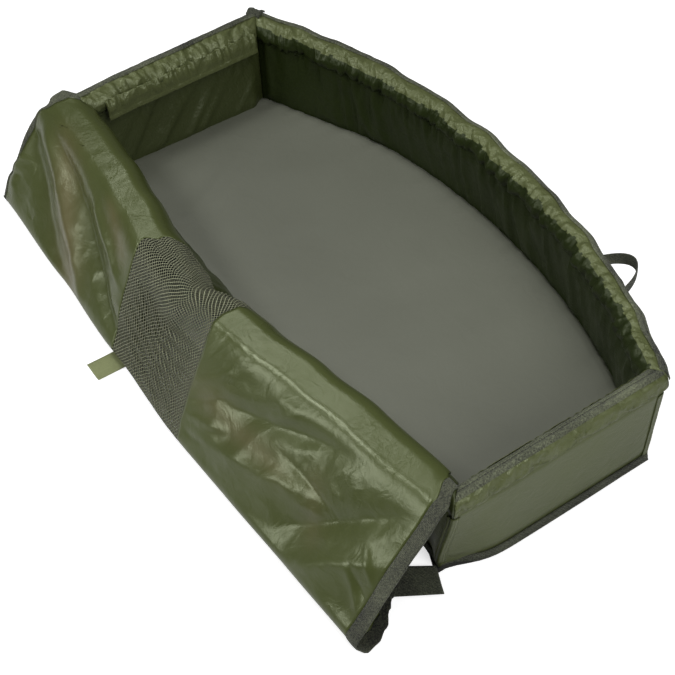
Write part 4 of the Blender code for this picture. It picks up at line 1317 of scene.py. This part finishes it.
def makeCover(materials):
    look, lip = coverLook, coverLook["lip"]
    left, right, binding = look["left"], look["right"], look["binding"]
    cloth, net = (materials["cover"], "cover_nylon"), (materials["net"], "drain_mesh")
    panels = (("left", left + binding, look["meshLeft"], *cloth), ("mesh", look["meshLeft"], look["meshRight"], *net),
              ("right", look["meshRight"], right - binding, *cloth))
    for part, start, end, finish, slot in panels:
        addStrip(part, start, end, (f"{part}CoverPanel", f"{part}CoverUnder"),
                 ((f"cover_upper_{part}", f"cover_hem_{part}"), (f"cover_lower_{part}",)),
                 finish, slot, look["thickness"], look["columnStep"], 0.0)
    for part, start, end in (("left", left, left + binding), ("right", right - binding, right)):
        addStrip(part, start, end, (f"{part}CoverBinding", f"{part}UnderBinding"),
                 ((f"cover_upper_binding_{part}",), (f"cover_lower_binding_{part}",)),
                 materials["binding"], "webbing", look["bindingThickness"], look["bindingStep"], look["bindingSwell"])
    for part, start, end, finish, slot in panels:
        low, high = max(start, -lip["half"]), min(end, lip["half"])

        def place(u, v):
            x = low + (high - low) * u
            return placeLip(x, lipDepth(x) * v, lip["height"])

        piece = addSheet(f"{part}CoverLip", round((high - low) / 0.01), 12, place, [finish], lip["thickness"])
        register(piece, "cover_lip", slot, f"cover_lip_{part}")

    def placeBinding(u, v):
        x = lip["half"] * (2 * u - 1)
        return placeLip(x, lipDepth(x) + lip["bindingFrom"] + lip["bindingWidth"] * v, lip["bindingHeight"])

    piece = addSheet("lipBinding", 90, 4, placeBinding, [materials["binding"]], lip["bindingThickness"])
    register(piece, "cover_lip", "webbing", "cover_lip_binding")


# tabs on the cover

tabLook = {"curl": 0.002, "thickness": 0.0014, "cornerHeight": 0.0072, "pullHeight": 0.0014}
tabPlaces = {  # plan corners: sewn end left and right, free end right and left
    "right": ((0.414, -0.23), (0.441, -0.276), (0.494, -0.196), (0.453, -0.178)),
    "left": ((-0.502, -0.262), (-0.471, -0.228), (-0.505, -0.19), (-0.54, -0.218)),
}


def makeTab(name, node, body, material, slot, corners, lift):
    a, b, c, d = (Vector((*corner, 0.0)) for corner in corners)
    width, length = (b - a).length, (d - a).length

    def place(u, v):
        point = a.lerp(b, u).lerp(d.lerp(c, u), v)
        point.z = lift + tabLook["curl"] * v * v * (0.5 + 0.5 * cos(2 * pi * (u - 0.2)))
        return point, (u * width, v * length)

    piece = addSheet(name, 12, 18, place, [material], tabLook["thickness"])
    register(piece, body, slot, node)


def makeTabs(webbing, nylon):
    for part, corners in tabPlaces.items():
        makeTab(f"{part}CornerTab", f"cover_corner_tab_{part}", "cover_lower", webbing, "webbing", corners,
                tabLook["cornerHeight"])
    low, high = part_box("cover_pull_tab")
    corners = ((low[0], high[1] - 0.004), (high[0], high[1] - 0.002), (high[0], low[1]), (low[0], low[1] + 0.001))
    makeTab("pullTab", "cover_pull_tab", "cover_lip", nylon, "light_nylon", corners, tabLook["pullHeight"])


# the whole mat

addCamera(cameraView)
addStage(lightPlan)
finish = {name: clothMaterial(name, look) for name, look in clothLooks.items() if name != "rimTapeCloth"}
finish["net"] = netMaterial("drainNet", netLook)
finish["tape"] = clothMaterial("rimTape", clothLooks["rimTapeCloth"], (0.0095,), (0.012, 0.013, 0.008))
finish["strip"] = clothMaterial("stripNylon", clothLooks["shellNylon"], (-0.007, 0.007))
finish["flap"] = clothMaterial("flapNylon", clothLooks["lightNylon"], (0.039,), (0.3, 0.33, 0.2))
print("materials made")

for side in wallLengths:
    # the front wall and its rim take the lining copy with painted shade
    lining = finish["paintedShadeLining" if side == "front" else "liningNylon"]
    makeWallPad(side, [finish["shellNylon"], lining])
    makeRim(side, [finish["liningNylon" if side == "rear" else "lightNylon"], lining])
    if side != "rear":
        makeTape(side, finish["tape"])
print("walls made")
makeKnot(finish["webbing"])
makeUnderside(finish["baseCloth"])
makeBaseTrim(finish["webbing"])
makeFloorPad(finish["floorVinyl"])
for side, nextSide in zip(sides, sides[1:] + sides[:1]):
    makeCornerStrip(side, nextSide, finish["strip"])
makeFlap("right", 1, finish["flap"])
makeFlap("left", -1, finish["flap"])
for side in ("front", "rear"):
    for part, sign in (("right", 1), ("left", -1)):
        makeHandle(side, part, sign, (finish["bindingTape"], finish["webbing"]))
print("base, corners, flaps and handles made")
makeCover({"net": finish["net"], "cover": finish["coverNylon"], "binding": finish["bindingTape"]})
makeTabs(finish["webbing"], finish["tabNylon"])
print("cover made")

scene.view_settings.view_transform = "Standard"
